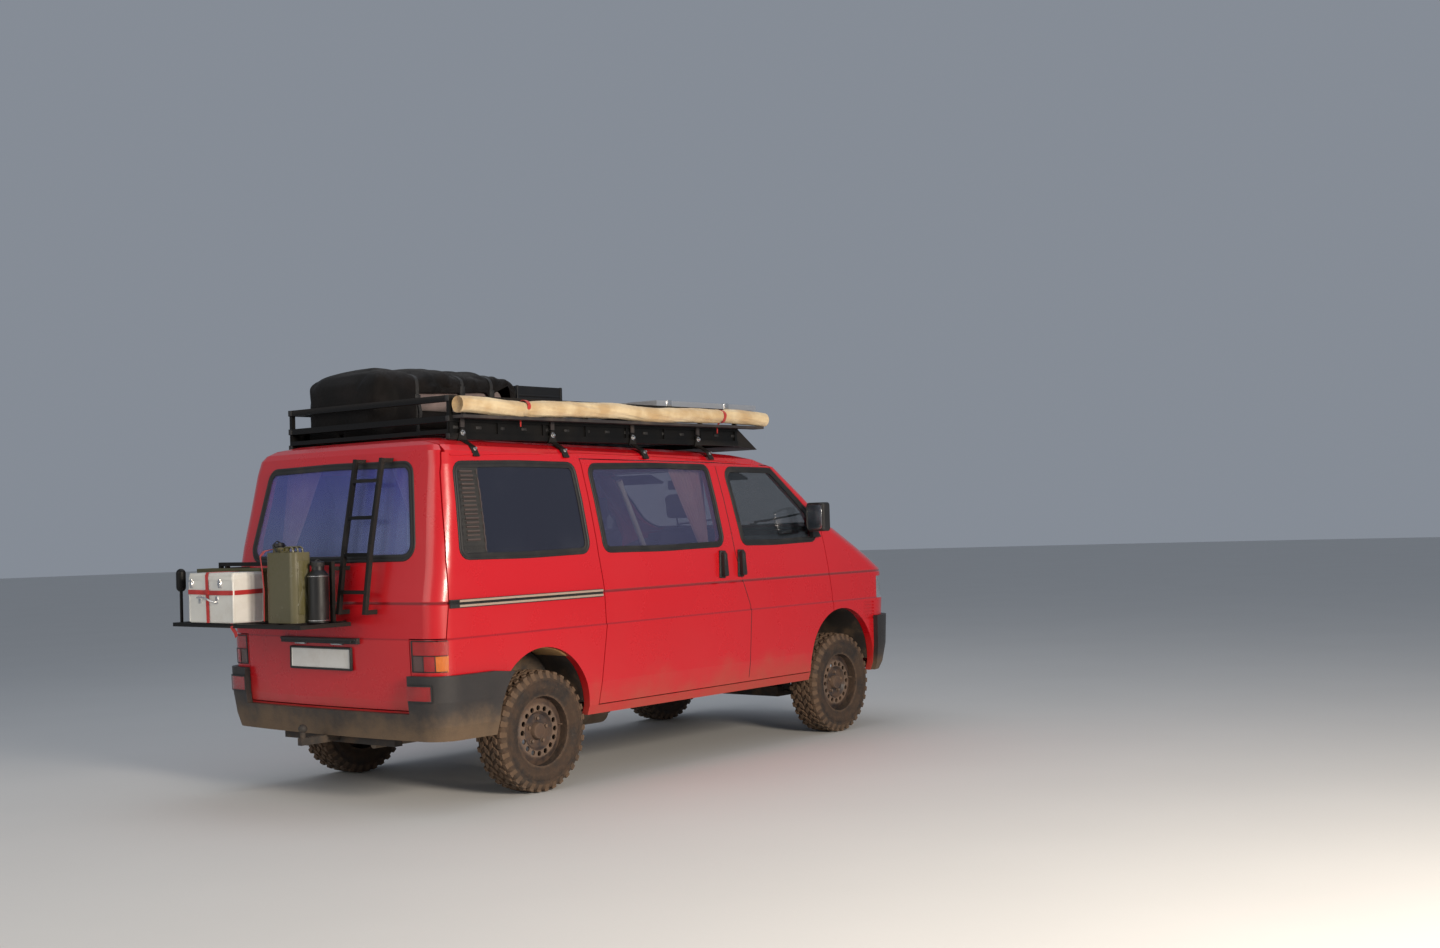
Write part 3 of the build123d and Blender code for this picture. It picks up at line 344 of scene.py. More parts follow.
FINISH = {
    "red": red_paint(),
    "bumper": moulded_plastic("bumper_plastic", (0.024, 0.022, 0.023), (0.060, 0.052, 0.048), 0.34, 0.60),
    "black_plastic": moulded_plastic("black_plastic", (0.012, 0.012, 0.013), (0.05, 0.048, 0.045), 0.0, 0.3),
    "steel": black_steel(),
    "rubber": rubber(),
    "tyre": tyre_rubber(),
    "wheel": wheel_steel(),
    "window": side_panes(),
    "rear_window": rear_pane(),
    "door_window": door_pane(),
    "lamp_clear": lamp_lens("headlamp_lens", (0.62, 0.66, 0.70), 60.0, 0.7),
    "lamp_red": lamp_lens("red_lens", (0.52, 0.006, 0.008)),
    "lamp_amber": lamp_lens("amber_lens", (0.85, 0.20, 0.01)),
    "tail": tail_lens(),
    "underbody": plain_paint("underbody_coat", (0.035, 0.030, 0.027), (0.17, 0.11, 0.065), 0.8, 0.7),
    "cast": plain_paint("cast_metal", (0.12, 0.115, 0.11), (0.10, 0.07, 0.045), 0.6, 0.6, 0.6),
    "exhaust": plain_paint("exhaust_steel", (0.22, 0.17, 0.13), (0.16, 0.10, 0.06), 0.7, 0.5, 0.8),
    "cab": moulded_plastic("cab_plastic", (0.035, 0.036, 0.040), (0.07, 0.07, 0.075), -1.0, -0.5),
    "seat": cloth("seat_cloth", (0.10, 0.10, 0.115), (0.055, 0.055, 0.065), 700),
    "mattress": cloth("mattress_cloth", (0.32, 0.30, 0.27), (0.22, 0.21, 0.20), 500),
    "board": plain_paint("birch_board", (0.42, 0.29, 0.17), (0.30, 0.20, 0.12), 0.2, 0.45),
    "curtain": cloth("curtain_cloth", (0.94, 0.66, 0.66), (0.84, 0.50, 0.52), 1100, 0.5),
    "tent": cloth("tent_cover_cloth", (0.0085, 0.0065, 0.006), (0.0035, 0.003, 0.003), 800, 0.03, 0.6,
                  folds=1.6, gloss=0.15),
    "tent_grey": cloth("tent_base_cloth", (0.30, 0.23, 0.22), (0.17, 0.13, 0.13), 600, 0.2, 0.8, 0.6),
    "canvas": cloth("awning_canvas", (0.80, 0.65, 0.41), (0.56, 0.38, 0.19), 700, 0.2, 0.9, 1.4),
    "webbing": cloth("red_webbing", (0.62, 0.025, 0.02), (0.42, 0.01, 0.01), 1500, 0.2),
    "aluminium": plain_paint("anodised_aluminium", (0.74, 0.75, 0.77), (0.45, 0.42, 0.38), 0.25, 0.32, 0.85),
    "white_box": plain_paint("white_box_plastic", (0.74, 0.73, 0.68), (0.42, 0.36, 0.28), 0.35, 0.42),
    "case": plain_paint("case_plastic", (0.006, 0.006, 0.007), (0.05, 0.042, 0.035), 0.16, 0.4),
    "olive": plain_paint("olive_paint", (0.078, 0.066, 0.0015), (0.07, 0.055, 0.004), 0.10, 0.14, scale=6.0,
                         wear=0.3),
    "dull_olive": plain_paint("crate_olive", (0.075, 0.070, 0.022), (0.12, 0.09, 0.05), 0.4, 0.5),
    "plate": plain_paint("plate_face", (0.74, 0.74, 0.72), (0.40, 0.34, 0.27), 0.3, 0.3),
    "wire": plain_paint("bright_wire", (0.70, 0.70, 0.70), (0.3, 0.25, 0.2), 0.2, 0.25, 0.95),
    "rust": plain_paint("rusty_steel", (0.10, 0.055, 0.035), (0.16, 0.10, 0.06), 0.7, 0.75, 0.3),
    "rail": plain_paint("rail_trim", (0.46, 0.36, 0.29), (0.34, 0.22, 0.15), 0.5, 0.4, 0.2),
    "rail_grey": plain_paint("shelf_coat", (0.055, 0.048, 0.048), (0.16, 0.12, 0.09), 0.4, 0.45, 0.4),
    "arch_mud": plain_paint("arch_mud", (0.42, 0.25, 0.10), (0.16, 0.09, 0.04), 0.6, 0.85, 0.0, 9.0),
    "cell": plain_paint("panel_cell", (0.010, 0.012, 0.030), (0.20, 0.18, 0.15), 0.2, 0.12),
    "vent": plain_paint("vent_slats", (0.075, 0.055, 0.052), (0.13, 0.09, 0.07), 0.3, 0.5),
    "mirror": plain_paint("mirror_glass", (0.75, 0.77, 0.80), (0.4, 0.4, 0.4), 0.1, 0.05, 1.0),
}


# Making meshes

def turns(count):
    """Angles of evenly spaced points round a circle."""
    return [2 * math.pi * k / count for k in range(count)]


def steps(start, end, count):
    """Evenly spaced values from start to end, both counted."""
    return [start + (end - start) * i / (count - 1) for i in range(count)]


def circle(at, radius, count, plane):
    """Points round a circle in one plane, such as "xy"."""
    first, second = ("xyz".index(axis) for axis in plane)
    points = []
    for a in turns(count):
        point = list(at)
        point[first] += radius * math.cos(a)
        point[second] += radius * math.sin(a)
        points.append(point)
    return points


def rounded_oblong(half_wide, half_tall, squareness, count):
    """(across, up) points round an oblong whose corners are tighter the larger squareness is."""
    points = []
    for a in turns(count):
        c, s = math.cos(a), math.sin(a)
        reach = (abs(c / half_wide) ** squareness + abs(s / half_tall) ** squareness) ** (-1 / squareness)
        points.append((reach * c, reach * s))
    return points


def band(width, low, high):
    """Flat webbing between two distances from the surface, as a profile for a sweep."""
    half = width / 2
    return [(-half, low), (-half, high), (half, high), (half, low)]


def lip(foot, top, height, sink=0.001):
    """Low ridge, wider at its foot than at its top, as a profile for a sweep."""
    return [(-foot, -sink), (-top, height), (top, height), (foot, -sink)]


def headings(path, loop):
    """Each point of a path with the direction of travel there."""
    for i, point in enumerate(path):
        before = path[i - 1] if loop or i else point
        after = path[(i + 1) % len(path)] if loop or i + 1 < len(path) else point
        yield point, (after - before).normalized()


class Maker:
    """Collects the faces of one piece, then hands it over as an object."""

    def __init__(self):
        self.mesh = bmesh.new()

    def rings(self, rings, loop=False, caps=True):
        """Skin over rings of equally many points."""
        rows = [[self.mesh.verts.new(p) for p in ring] for ring in rings]
        count = len(rows[0])
        pairs = list(zip(rows, rows[1:])) + ([(rows[-1], rows[0])] if loop else [])
        for a, b in pairs:
            for i in range(count):
                j = (i + 1) % count
                self.mesh.faces.new((a[i], a[j], b[j], b[i]))
        if caps and not loop:
            self.mesh.faces.new(list(reversed(rows[0])))
            self.mesh.faces.new(rows[-1])
        return self

    def sheet(self, rows):
        """Open skin over a grid of points."""
        grid = [[self.mesh.verts.new(p) for p in row] for row in rows]
        for a, b in zip(grid, grid[1:]):
            for i in range(len(a) - 1):
                self.mesh.faces.new((a[i], a[i + 1], b[i + 1], b[i]))
        return self

    def block(self, low, high, edge=0.004, steps=2, turn=None):
        """Box between two corners with rounded edges, turned about its middle if asked."""
        low, high = Vector(low), Vector(high)
        size = high - low
        place = Matrix.Translation((low + high) / 2) @ (turn or Matrix.Identity(4))
        place = place @ Matrix.Diagonal((*size, 1))
        made = bmesh.ops.create_cube(self.mesh, size=1, matrix=place)
        edges = list(dict.fromkeys(e for v in made["verts"] for e in v.link_edges))
        edge = min(edge, min(abs(s) for s in size) * 0.45)
        bmesh.ops.bevel(self.mesh, geom=edges, offset=edge, segments=steps, affect="EDGES", profile=0.5)
        return self

    def sweep(self, path, profile, normals, loop=False):
        """Profile of (side, out) points carried along a path on a surface."""
        path = [Vector(p) for p in path]
        rings = []
        for (point, along), normal in zip(headings(path, loop), normals):
            out = Vector(normal).normalized()
            side = along.cross(out).normalized()
            rings.append([point + side * s + out * o for s, o in profile])
        return self.rings(rings, loop)

    def tube(self, path, radius, sides=10, loop=False):
        """Round bar along a path. The radius may be a list, one for each point."""
        path = [Vector(p) for p in path]
        radii = radius if isinstance(radius, list) else [radius] * len(path)
        across = None
        rings = []
        for (point, along), wide in zip(headings(path, loop), radii):
            if across is None:
                across = along.orthogonal()
            across = (across - along * across.dot(along)).normalized()
            up = along.cross(across)
            rings.append([point + (across * math.cos(a) + up * math.sin(a)) * wide for a in turns(sides)])
        return self.rings(rings, loop)

    def lathe(self, profile, at, axis, sides=32):
        """Solid of revolution from (distance along the axis, radius) points."""
        at, axis = Vector(at), Vector(axis).normalized()
        across = axis.orthogonal().normalized()
        up = axis.cross(across)
        return self.rings([[at + axis * d + (across * math.cos(a) + up * math.sin(a)) * r
                            for a in turns(sides)] for d, r in profile])

    def data(self, name, sharp):
        """The collected faces as mesh data, with a hard edge where two meet at more than the sharp angle."""
        bmesh.ops.recalc_face_normals(self.mesh, faces=self.mesh.faces)
        for face in self.mesh.faces:
            face.smooth = True
        for edge in self.mesh.edges:
            if len(edge.link_faces) == 2 and edge.calc_face_angle(0) > math.radians(sharp):
                edge.smooth = False
        data = bpy.data.meshes.new(name)
        self.mesh.to_mesh(data)
        self.mesh.free()
        return data

    def done(self, name, body, finish, slot, replaces=(), sharp=38.0):
        """The collected faces as one object that rides on a body."""
        return place(name, self.data(name, sharp), body, finish, slot, replaces)


def place(name, data, body, finish, slot, replaces=(), at=None):
    """An object from mesh data, with its finish, body and the CAD nodes it stands for. The slot argument is
    not used.
    """
    piece = bpy.data.objects.new(name, data)
    bpy.context.scene.collection.objects.link(piece)
    if not data.materials:
        data.materials.append(FINISH[finish])
    if at:
        piece.location = at
    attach(piece, body)
    if replaces:
        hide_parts(*replaces)
    return piece


def skin_of(*names):
    """Tree for finding places on the outer faces of CAD nodes."""
    joined = bmesh.new()
    for name in names:
        joined.from_mesh(NODES[name].data)
    return BVHTree.FromBMesh(joined)


BODY_SKIN = skin_of("sides", "sliding_door", "door_left", "door_right", "tailgate", "roof", "cab_frame",
                    "wings", "bonnet", "front_panel", "bumpers")
SCREEN_SKIN = skin_of("body_glass", "cab_frame")


def touch(origin, direction, skin=BODY_SKIN):
    """Place and outward normal where a ray meets the skin, or None."""
    direction = Vector(direction)
    point, normal, _, _ = skin.ray_cast(Vector(origin), direction)
    if point is None:
        return None
    return point, (-normal if normal.dot(direction) > 0 else normal)


# Camera, floor and light

def studio():
    """Camera where the photo's was, pale floor, soft light from the van's right."""
    yaw, pitch, roll = (math.radians(a) for a in (38.692, 1.5165, -1.671))
    look = Vector((math.cos(yaw) * math.cos(pitch), math.sin(yaw) * math.cos(pitch), math.sin(pitch)))
    level = Vector((math.sin(yaw), -math.cos(yaw), 0))
    upright = level.cross(look)
    right = level * math.cos(roll) + upright * math.sin(roll)
    up = upright * math.cos(roll) - level * math.sin(roll)
    data = bpy.data.cameras.new("camera")
    data.sensor_width = 36
    data.lens = 41.93
    camera = bpy.data.objects.new("camera", data)
    camera.matrix_world = Matrix.Translation((AXLE - 6.742, -7.598, 1.508)) @ Matrix(
        (right, up, -look)).transposed().to_4x4()
    bpy.context.scene.collection.objects.link(camera)
    bpy.context.scene.camera = camera

    f = Finish("pale_floor")
    floor_tone = f.mix(f.noise(0.8), (0.60, 0.60, 0.59), (0.64, 0.64, 0.63))
    floor_finish = f.surface(floor_tone, 0.75, f.noise(30), 0.0005)
    ground = bmesh.new()
    bmesh.ops.create_circle(ground, cap_ends=True, radius=60, segments=96)
    floor_mesh = bpy.data.meshes.new("floor_sheet")
    ground.to_mesh(floor_mesh)
    floor_mesh.materials.append(floor_finish)
    floor = bpy.data.objects.new("floor_sheet", floor_mesh)
    bpy.context.scene.collection.objects.link(floor)

    bpy.context.scene.view_settings.view_transform = "Standard"
    world = bpy.data.worlds.new("studio")
    bpy.context.scene.world = world
    world.use_nodes = True
    sky = world.node_tree.nodes["Background"]
    sky.inputs["Color"].default_value = (0.74, 0.82, 0.95, 1)
    sky.inputs["Strength"].default_value = 0.32
    for name, at, power, size, tint in (
            ("key", (AXLE - 2.2, -9.8, 3.6), 900, 2.2, (1.0, 0.88, 0.74)),
            ("fill", (AXLE - 9.0, 1.0, 4.0), 190, 6.0, (1.0, 0.94, 0.84)),
            ("top", (AXLE + 1.5, 1.0, 9.0), 160, 7.0, (0.92, 0.95, 1.0))):
        light = bpy.data.lights.new(name, "AREA")
        light.energy = power
        light.size = size
        light.color = tint
        lamp = bpy.data.objects.new(name, light)
        lamp.location = at
        lamp.rotation_euler = (Vector((AXLE + 1.0, 0, 1.0)) - Vector(at)).to_track_quat("-Z", "Y").to_euler()
        bpy.context.scene.collection.objects.link(lamp)


studio()


# Finishes of the CAD nodes that stay

NODE_FINISH = {
    "red": ("tailgate", "door_left", "door_right", "sliding_door", "bonnet", "roof", "cab_frame", "sides",
            "front_panel", "wings"),
    "bumper": ("bumpers",),
    "black_plastic": ("grilles", "door_fittings_left", "door_fittings_right", "plate_garnish",
                      "slide_fittings"),
    "window": ("body_glass",),
    "rear_window": ("tailgate_glass",),
    "door_window": ("door_glass_left", "door_glass_right"),
    "lamp_clear": ("headlamps",),
    "tail": ("tail_lamps",),
    "underbody": ("floor", "front_axle", "rear_axle", "knuckle_left", "knuckle_right", "tow_bar",
                  "fuel_tank"),
    "cast": ("engine",),
    "exhaust": ("exhaust",),
    "wheel": ("rim_front_left", "rim_front_right", "rim_rear_left", "rim_rear_right"),
    "cab": ("cab_controls",),
    "board": ("furniture",),
    "steel": ("roof_rack", "ladder", "carrier"),
    "plate": ("number_plate",),
    "case": ("roof_case", "flask"),
    "white_box": ("storage_box",),
    "olive": ("can",),
    "dull_olive": ("crate",),
    "aluminium": ("roof_panel",),
    "rail_grey": ("awning_shelf",),
}
for finish, names in NODE_FINISH.items():
    for name in names:
        materials = NODES[name].data.materials
        materials.clear()
        materials.append(FINISH[finish])


# Window seals

def outline_of(node, flat, keep):
    """Even points 20 mm apart round one pane, as (a, b) pairs in the view that flat gives."""
    seen = [flat(v.co) for v in NODES[node].data.vertices if keep(v.co)]
    hull = [Vector(seen[i]) for i in convex_hull_2d(seen)]
    lengths = [(hull[(i + 1) % len(hull)] - p).length for i, p in enumerate(hull)]
    count = int(sum(lengths) / 0.02)
    points, run, i = [], 0.0, 0
    for k in range(count):
        at = sum(lengths) * k / count
        while run + lengths[i] < at:
            run += lengths[i]
            i += 1
        a, b = hull[i], hull[(i + 1) % len(hull)]
        points.append(a.lerp(b, (at - run) / lengths[i]))
    return points


def widened(points, reach):
    """Flat outline whose points are moved away from its middle."""
    heart = sum(points, Vector((0, 0))) / len(points)
    return [p + (p - heart).normalized() * reach for p in points]


SEAL = [(-0.024, -0.004), (-0.024, 0.002), (-0.016, 0.0045), (-0.006, 0.0045), (-0.003, 0.0025), (0.0, 0.003),
        (0.003, 0.0065), (0.010, 0.0065), (0.014, 0.004), (0.015, -0.001)]


def window_seal(name, body, node, view, keep=lambda p: True):
    """Rubber seal round one pane: a lip on the glass and a rounder one on the panel."""
    if view in SIDES:
        side = SIDES[view]
        direction = (0, -side, 0)
        points = outline_of(node, lambda p: (p.x, p.z), lambda p: p.y * side > 0 and keep(p))
        starts = [(p.x, side * 3, p.y) for p in widened(points, 0.012)]
    else:
        toward = 1 if view == "rear" else -1
        direction = (toward, 0, 0)
        points = outline_of(node, lambda p: (p.y, p.z), keep)
        starts = [(-toward * 6, p.x, p.y) for p in widened(points, 0.012)]
    path, normals = zip(*(touch(start, direction) for start in starts))
    turn = (path[1] - path[0]).cross(normals[0]).dot(path[0] - sum(path, Vector()) / len(path))
    profile = SEAL if turn > 0 else [(-s, o) for s, o in SEAL]
    maker = Maker()
    maker.sweep([p - n * 0.0005 for p, n in zip(path, normals)], profile, normals, loop=True)
    maker.done(name, body, "rubber", "dark_plastic", sharp=60)


for side_name in SIDES:
    window_seal(f"seal_rear_side_{side_name}", "body", "body_glass", side_name,
                lambda p: p.x < REAR_WINDOW_END)
    window_seal(f"seal_middle_side_{side_name}", "body", "body_glass", side_name,
                lambda p: REAR_WINDOW_END < p.x < MIDDLE_WINDOW_END)
    window_seal(f"seal_door_{side_name}", f"door_{side_name}", f"door_glass_{side_name}", side_name)
window_seal("seal_tailgate", "tailgate", "tailgate_glass", "rear")
window_seal("seal_windscreen", "body", "body_glass", "front", lambda p: p.x > SCREEN_START)


# Wheels

TYRE_LOW, TYRE_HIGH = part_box("tyre_rear_right")
TYRE_RADIUS = (TYRE_HIGH.z - TYRE_LOW.z) / 2
TYRE_HALF = (TYRE_HIGH.y - TYRE_LOW.y) / 2
RIM_RADIUS = 0.203
TREAD_DEPTH = 0.011


def tyre_mesh():
    """Carcass and chunky tread: two rows of blocks in the middle, deep lugs over each shoulder."""
    maker = Maker()
    base = TYRE_RADIUS - TREAD_DEPTH
    half = TYRE_HALF
    wall = [(0.092, RIM_RADIUS - 0.006), (0.096, RIM_RADIUS + 0.004), (half - 0.012, RIM_RADIUS + 0.012),
            (half - 0.006, RIM_RADIUS + 0.024), (half - 0.001, RIM_RADIUS + 0.045),
            (half, base - 0.062), (half - 0.003, base - 0.052), (half - 0.001, base - 0.046),
            (half - 0.004, base - 0.026), (half - 0.014, base - 0.008), (half - 0.030, base)]
    profile = [(-d, r) for d, r in wall] + [(d, r) for d, r in reversed(wall)]
    profile += [(0.080, RIM_RADIUS - 0.008), (-0.080, RIM_RADIUS - 0.008)]
    maker.rings([[Vector((r * math.sin(a), d, r * math.cos(a))) for d, r in profile] for a in turns(96)],
                loop=True)

    def lug(angle, spread, y_from, y_to, bottom, top, skew=0.0):
        """One block, narrower at its top."""
        points = []
        for r, share in ((bottom, 1.0), (top, 0.84)):
            for y, turn in ((y_from, -1), (y_from, 1), (y_to, 1), (y_to, -1)):
                middle_y = (y_from + y_to) / 2
                a = angle + turn * spread * share / 2 + skew * (y - middle_y)
                drawn_y = middle_y + (y - middle_y) * (0.5 + share / 2)
                points.append(Vector((r * math.sin(a), drawn_y, r * math.cos(a))))
        maker.rings([points[:4], points[4:]])

    def shoulder(angle, spread, side):
        """Lug that runs from the tread's edge down the tyre's wall."""
        points = []
        for share, lift in ((1.0, 0.0), (0.86, 0.007)):
            for r, y in ((TYRE_RADIUS - 0.010, half - 0.024), (base - 0.034, half - 0.007)):
                for turn in (-1, 1):
                    a = angle + turn * spread * share
                    points.append(Vector((r * math.sin(a), side * min(y + lift, half), r * math.cos(a))))
        order = (0, 1, 3, 2)
        maker.rings([[points[i] for i in order], [points[4 + i] for i in order]])

    pitches = 34
    pitch = 2 * math.pi / pitches
    for a in turns(pitches):
        for side in (-1, 1):
            shift = pitch * 0.25 * side
            lug(a + shift, pitch * 0.62, side * 0.006, side * 0.034, base - 0.004, TYRE_RADIUS, side * 2.2)
            lug(a + shift + pitch * 0.5, pitch * 0.60, side * 0.038, side * 0.066, base - 0.004,
                TYRE_RADIUS - 0.001, side * -1.6)
            lug(a + shift, pitch * 0.56, side * 0.070, side * (half - 0.012), base - 0.006,
                TYRE_RADIUS - 0.004)
            shoulder(a + shift, pitch * 0.27, side)
    return maker.data("tyre", 35)


def wheel_fittings(wheel, side, centre):
    """Five nuts, the hub's cap and the valve of one wheel."""
    nut_circle = 0.070
    fittings = Maker()
    face_y = centre.y + side * 0.040
    for turn in turns(5):
        a = turn + 0.3
        at = (centre.x + nut_circle * math.cos(a), face_y - side * 0.002, centre.z + nut_circle * math.sin(a))
        fittings.lathe([(0, 0.013), (0.004, 0.013), (0.006, 0.0105), (0.018, 0.0100), (0.020, 0.007)], at,
                       (0, side, 0), 6)
    fittings.lathe([(0.0, 0.047), (0.022, 0.046), (0.028, 0.042), (0.031, 0.030), (0.032, 0.012)],
                   (centre.x, face_y, centre.z), (0, side, 0), 36)
    fittings.tube([(centre.x + 0.165, face_y + side * 0.006, centre.z + 0.02),
                   (centre.x + 0.170, face_y + side * 0.034, centre.z + 0.02)], 0.004, 8)
    fittings.done(f"wheel_nuts_{wheel}", f"wheel_{wheel}", "wheel", "wheel_steel")


shared_tyre = tyre_mesh()
for end in ("front", "rear"):
    for side_name, side in SIDES.items():
        wheel = f"{end}_{side_name}"
        centre = middle(f"tyre_{wheel}")
        place(f"treaded_tyre_{wheel}", shared_tyre, f"wheel_{wheel}", "tyre", "tyre_rubber",
              (f"tyre_{wheel}",), centre)
        wheel_fittings(wheel, side, centre)


# Awning roll on the rack's right rail

AWNING_TIES = (0.185, 0.835)


def roll_sway(t):
    """How far the roll bends sideways at one share of its length."""
    return 0.006 * math.sin(5.3 * t * math.pi) + 0.004 * math.sin(11 * t * math.pi + 1)


def awning():
    """Rolled canvas: a wavering roll with a spiral edge, pulled in where it is tied."""
    low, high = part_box("awning_roll")
    centre = (low + high) / 2
    radius = (high.z - low.z) / 2 - 0.006
    stations, around = 190, 48
    maker = Maker()
    rings = []
    for i in range(stations + 1):
        t = i / stations
        x = low.x + (high.x - low.x) * t
        sway = roll_sway(t)
        lift = 0.006 * math.sin(4.6 * t * math.pi + 2) + 0.003 * math.sin(9.4 * t * math.pi)
        pull = sum(math.exp(-((t - tie) / 0.010) ** 2) for tie in AWNING_TIES)
        end = min(1.0, min(t, 1 - t) * 40)
        ring = []
        for a in turns(around):
            c, s = math.cos(a), math.sin(a)
            edge = 0.0030 * ((a / (2 * math.pi) + 0.12) % 1.0)
            crease = noise.noise(Vector((x * 7 + 3 * s, 2.2 * c, 2.2 * s))) * 0.0045
            fine = noise.noise(Vector((x * 30, 5 * c, 5 * s))) * 0.0016
            r = radius * (0.90 + 0.02 * end) + edge + (crease + fine) * end - 0.008 * pull
            ring.append(Vector((x, centre.y + sway + r * c, centre.z + lift - 0.002 + r * s)))
        rings.append(ring)
    maker.rings(rings, caps=False)
    layers = 13
    for ring, inward in ((rings[0], 1), (rings[-1], -1)):
        heart = sum(ring, Vector()) / len(ring)
        shrunk = [ring]
        for step in range(1, layers):
            share = 1 - step / layers
            depth = 0.006 * (step % 2) + 0.001 * step
            shrunk.append([heart + (p - heart) * share + Vector((inward * depth, 0, 0)) for p in ring])
        maker.rings(shrunk, caps=False)
        maker.mesh.faces.new([maker.mesh.verts.new(p) for p in shrunk[-1]])
    bmesh.ops.remove_doubles(maker.mesh, verts=maker.mesh.verts, dist=0.00005)
    roll = maker.done("awning_canvas_roll", "body", "canvas", "awning_fabric", ("awning_roll",), 70)
    awning_ties(low, high, radius * 0.92 - 0.004)


def awning_ties(low, high, radius):
    """Red webbing knotted round the roll, with one end that hangs down."""
    centre = (low + high) / 2
    straps = Maker()
    for tie in AWNING_TIES:
        x = low.x + (high.x - low.x) * tie
        sway = roll_sway(tie)
        ring = [Vector((x + 0.003 * math.sin(3 * a), centre.y + sway + radius * math.cos(a),
                        centre.z + radius * math.sin(a))) for a in turns(40)]
        normals = [Vector((0, math.cos(a), math.sin(a))) for a in turns(40)]
        straps.sweep(ring, band(0.024, 0, 0.0025), normals, loop=True)
        knot = ring[34]
        straps.tube([knot + Vector((0.01, -0.002, 0.0)), knot + Vector((0.0, -0.010, -0.01)),
                     knot + Vector((-0.012, -0.006, -0.03)), knot + Vector((-0.006, 0.0, -0.075))],
                    [0.006, 0.007, 0.005, 0.004], 8)
    straps.done("awning_ties", "body", "webbing", "awning_fabric")


awning()


# Soft goods

def between(stops, at):
    """Value at a place along a list of (place, value) stops."""
    if at <= stops[0][0]:
        return stops[0][1]
    for (a, first), (b, second) in zip(stops, stops[1:]):
        if at <= b:
            return first + (second - first) * (at - a) / (b - a)
    return stops[-1][1]


def swell(piece, cap, held=(), pressure=4.0):
    """Blows a cloth skin up a little. No point moves further than the cap, and the held ones stay."""
    last_frame = 20
    start = [v.co.copy() for v in piece.data.vertices]
    cloth = piece.modifiers.new("swell", "CLOTH")
    cloth.settings.quality = 5
    cloth.settings.use_pressure = True
    cloth.settings.uniform_pressure_force = pressure
    cloth.settings.effector_weights.gravity = 0
    cloth.point_cache.frame_end = last_frame
    if held:
        piece.vertex_groups.new(name="held").add(list(held), 1.0, "REPLACE")
        cloth.settings.vertex_group_mass = "held"
    for count in range(1, last_frame + 1):
        bpy.context.scene.frame_set(count)
    shaped = piece.evaluated_get(bpy.context.evaluated_depsgraph_get()).data
    ends = [v.co.copy() for v in shaped.vertices]
    for vertex, before, after in zip(piece.data.vertices, start, ends):
        move = after - before
        vertex.co = before + move * min(1.0, cap / max(move.length, 1e-6))
    piece.modifiers.remove(cloth)
    bpy.context.scene.frame_set(1)


def smooth_once(piece):
    """One step of subdivision."""
    piece.modifiers.new("subdivision", "SUBSURF").render_levels = 1
    piece.modifiers["subdivision"].levels = 1


def pad(name, finish, slot, low, high, shape, cell, crown, pull, cap, replaces=(), piping=0.004, body="body"):
    """Stuffed pad between two corners: crowned, its sides drawn in between the corners, piped round its top.

    It is made of cells of one size. Each point may be moved by shape, which is given the point and its place
    in the pad, from -1 to 1 along each side.
    """
    low, high = Vector(low), Vector(high)
    half, centre = (high - low) / 2, (high + low) / 2
    counts = [max(4, round(2 * h / cell)) for h in half]
    maker = Maker()
    made = {}

    def corner(i, j, k):
        """The point at one place of the grid, made only once."""
        key = (i, j, k)
        if key not in made:
            a = Vector([2 * n / count - 1 for n, count in zip(key, counts)])
            a /= sum(abs(c) ** 8 for c in a) ** 0.125
            drawn = Vector((1 - pull * (1 - a.y * a.y), 1 - pull * (1 - a.x * a.x), 1))
            point = Vector([c * h * d for c, h, d in zip(a, half, drawn)])
            point.z += crown * (1 - a.x * a.x) * (1 - a.y * a.y) * a.z
            made[key] = maker.mesh.verts.new(shape(centre + point, a) if shape else centre + point)
        return made[key]

    for axis in range(3):
        first, second = [b for b in range(3) if b != axis]
        for end in (0, counts[axis]):
            for u in range(counts[first]):
                for v in range(counts[second]):
                    quad = []
                    for du, dv in ((0, 0), (1, 0), (1, 1), (0, 1)):
                        key = [0, 0, 0]
                        key[axis], key[first], key[second] = end, u + du, v + dv
                        quad.append(corner(*key))
                    maker.mesh.faces.new(quad)
    maker.mesh.verts.index_update()
    order = {key: vertex.index for key, vertex in made.items()}
    piece = maker.done(name, body, finish, slot, replaces, 180)
    swell(piece, cap)
    rim = [(i, 0) for i in range(counts[0])] + [(counts[0], j) for j in range(counts[1])]
    rim += [(i, counts[1]) for i in range(counts[0], 0, -1)] + [(0, j) for j in range(counts[1], 0, -1)]
    path = [piece.data.vertices[order[(i, j, counts[2])]].co.copy() for i, j in rim]
    smooth_once(piece)
    if piping:
        Maker().tube(path, piping, 8, True).done(name + "_piping", body, finish, slot)
    return piece


# Seats, mattress and curtains

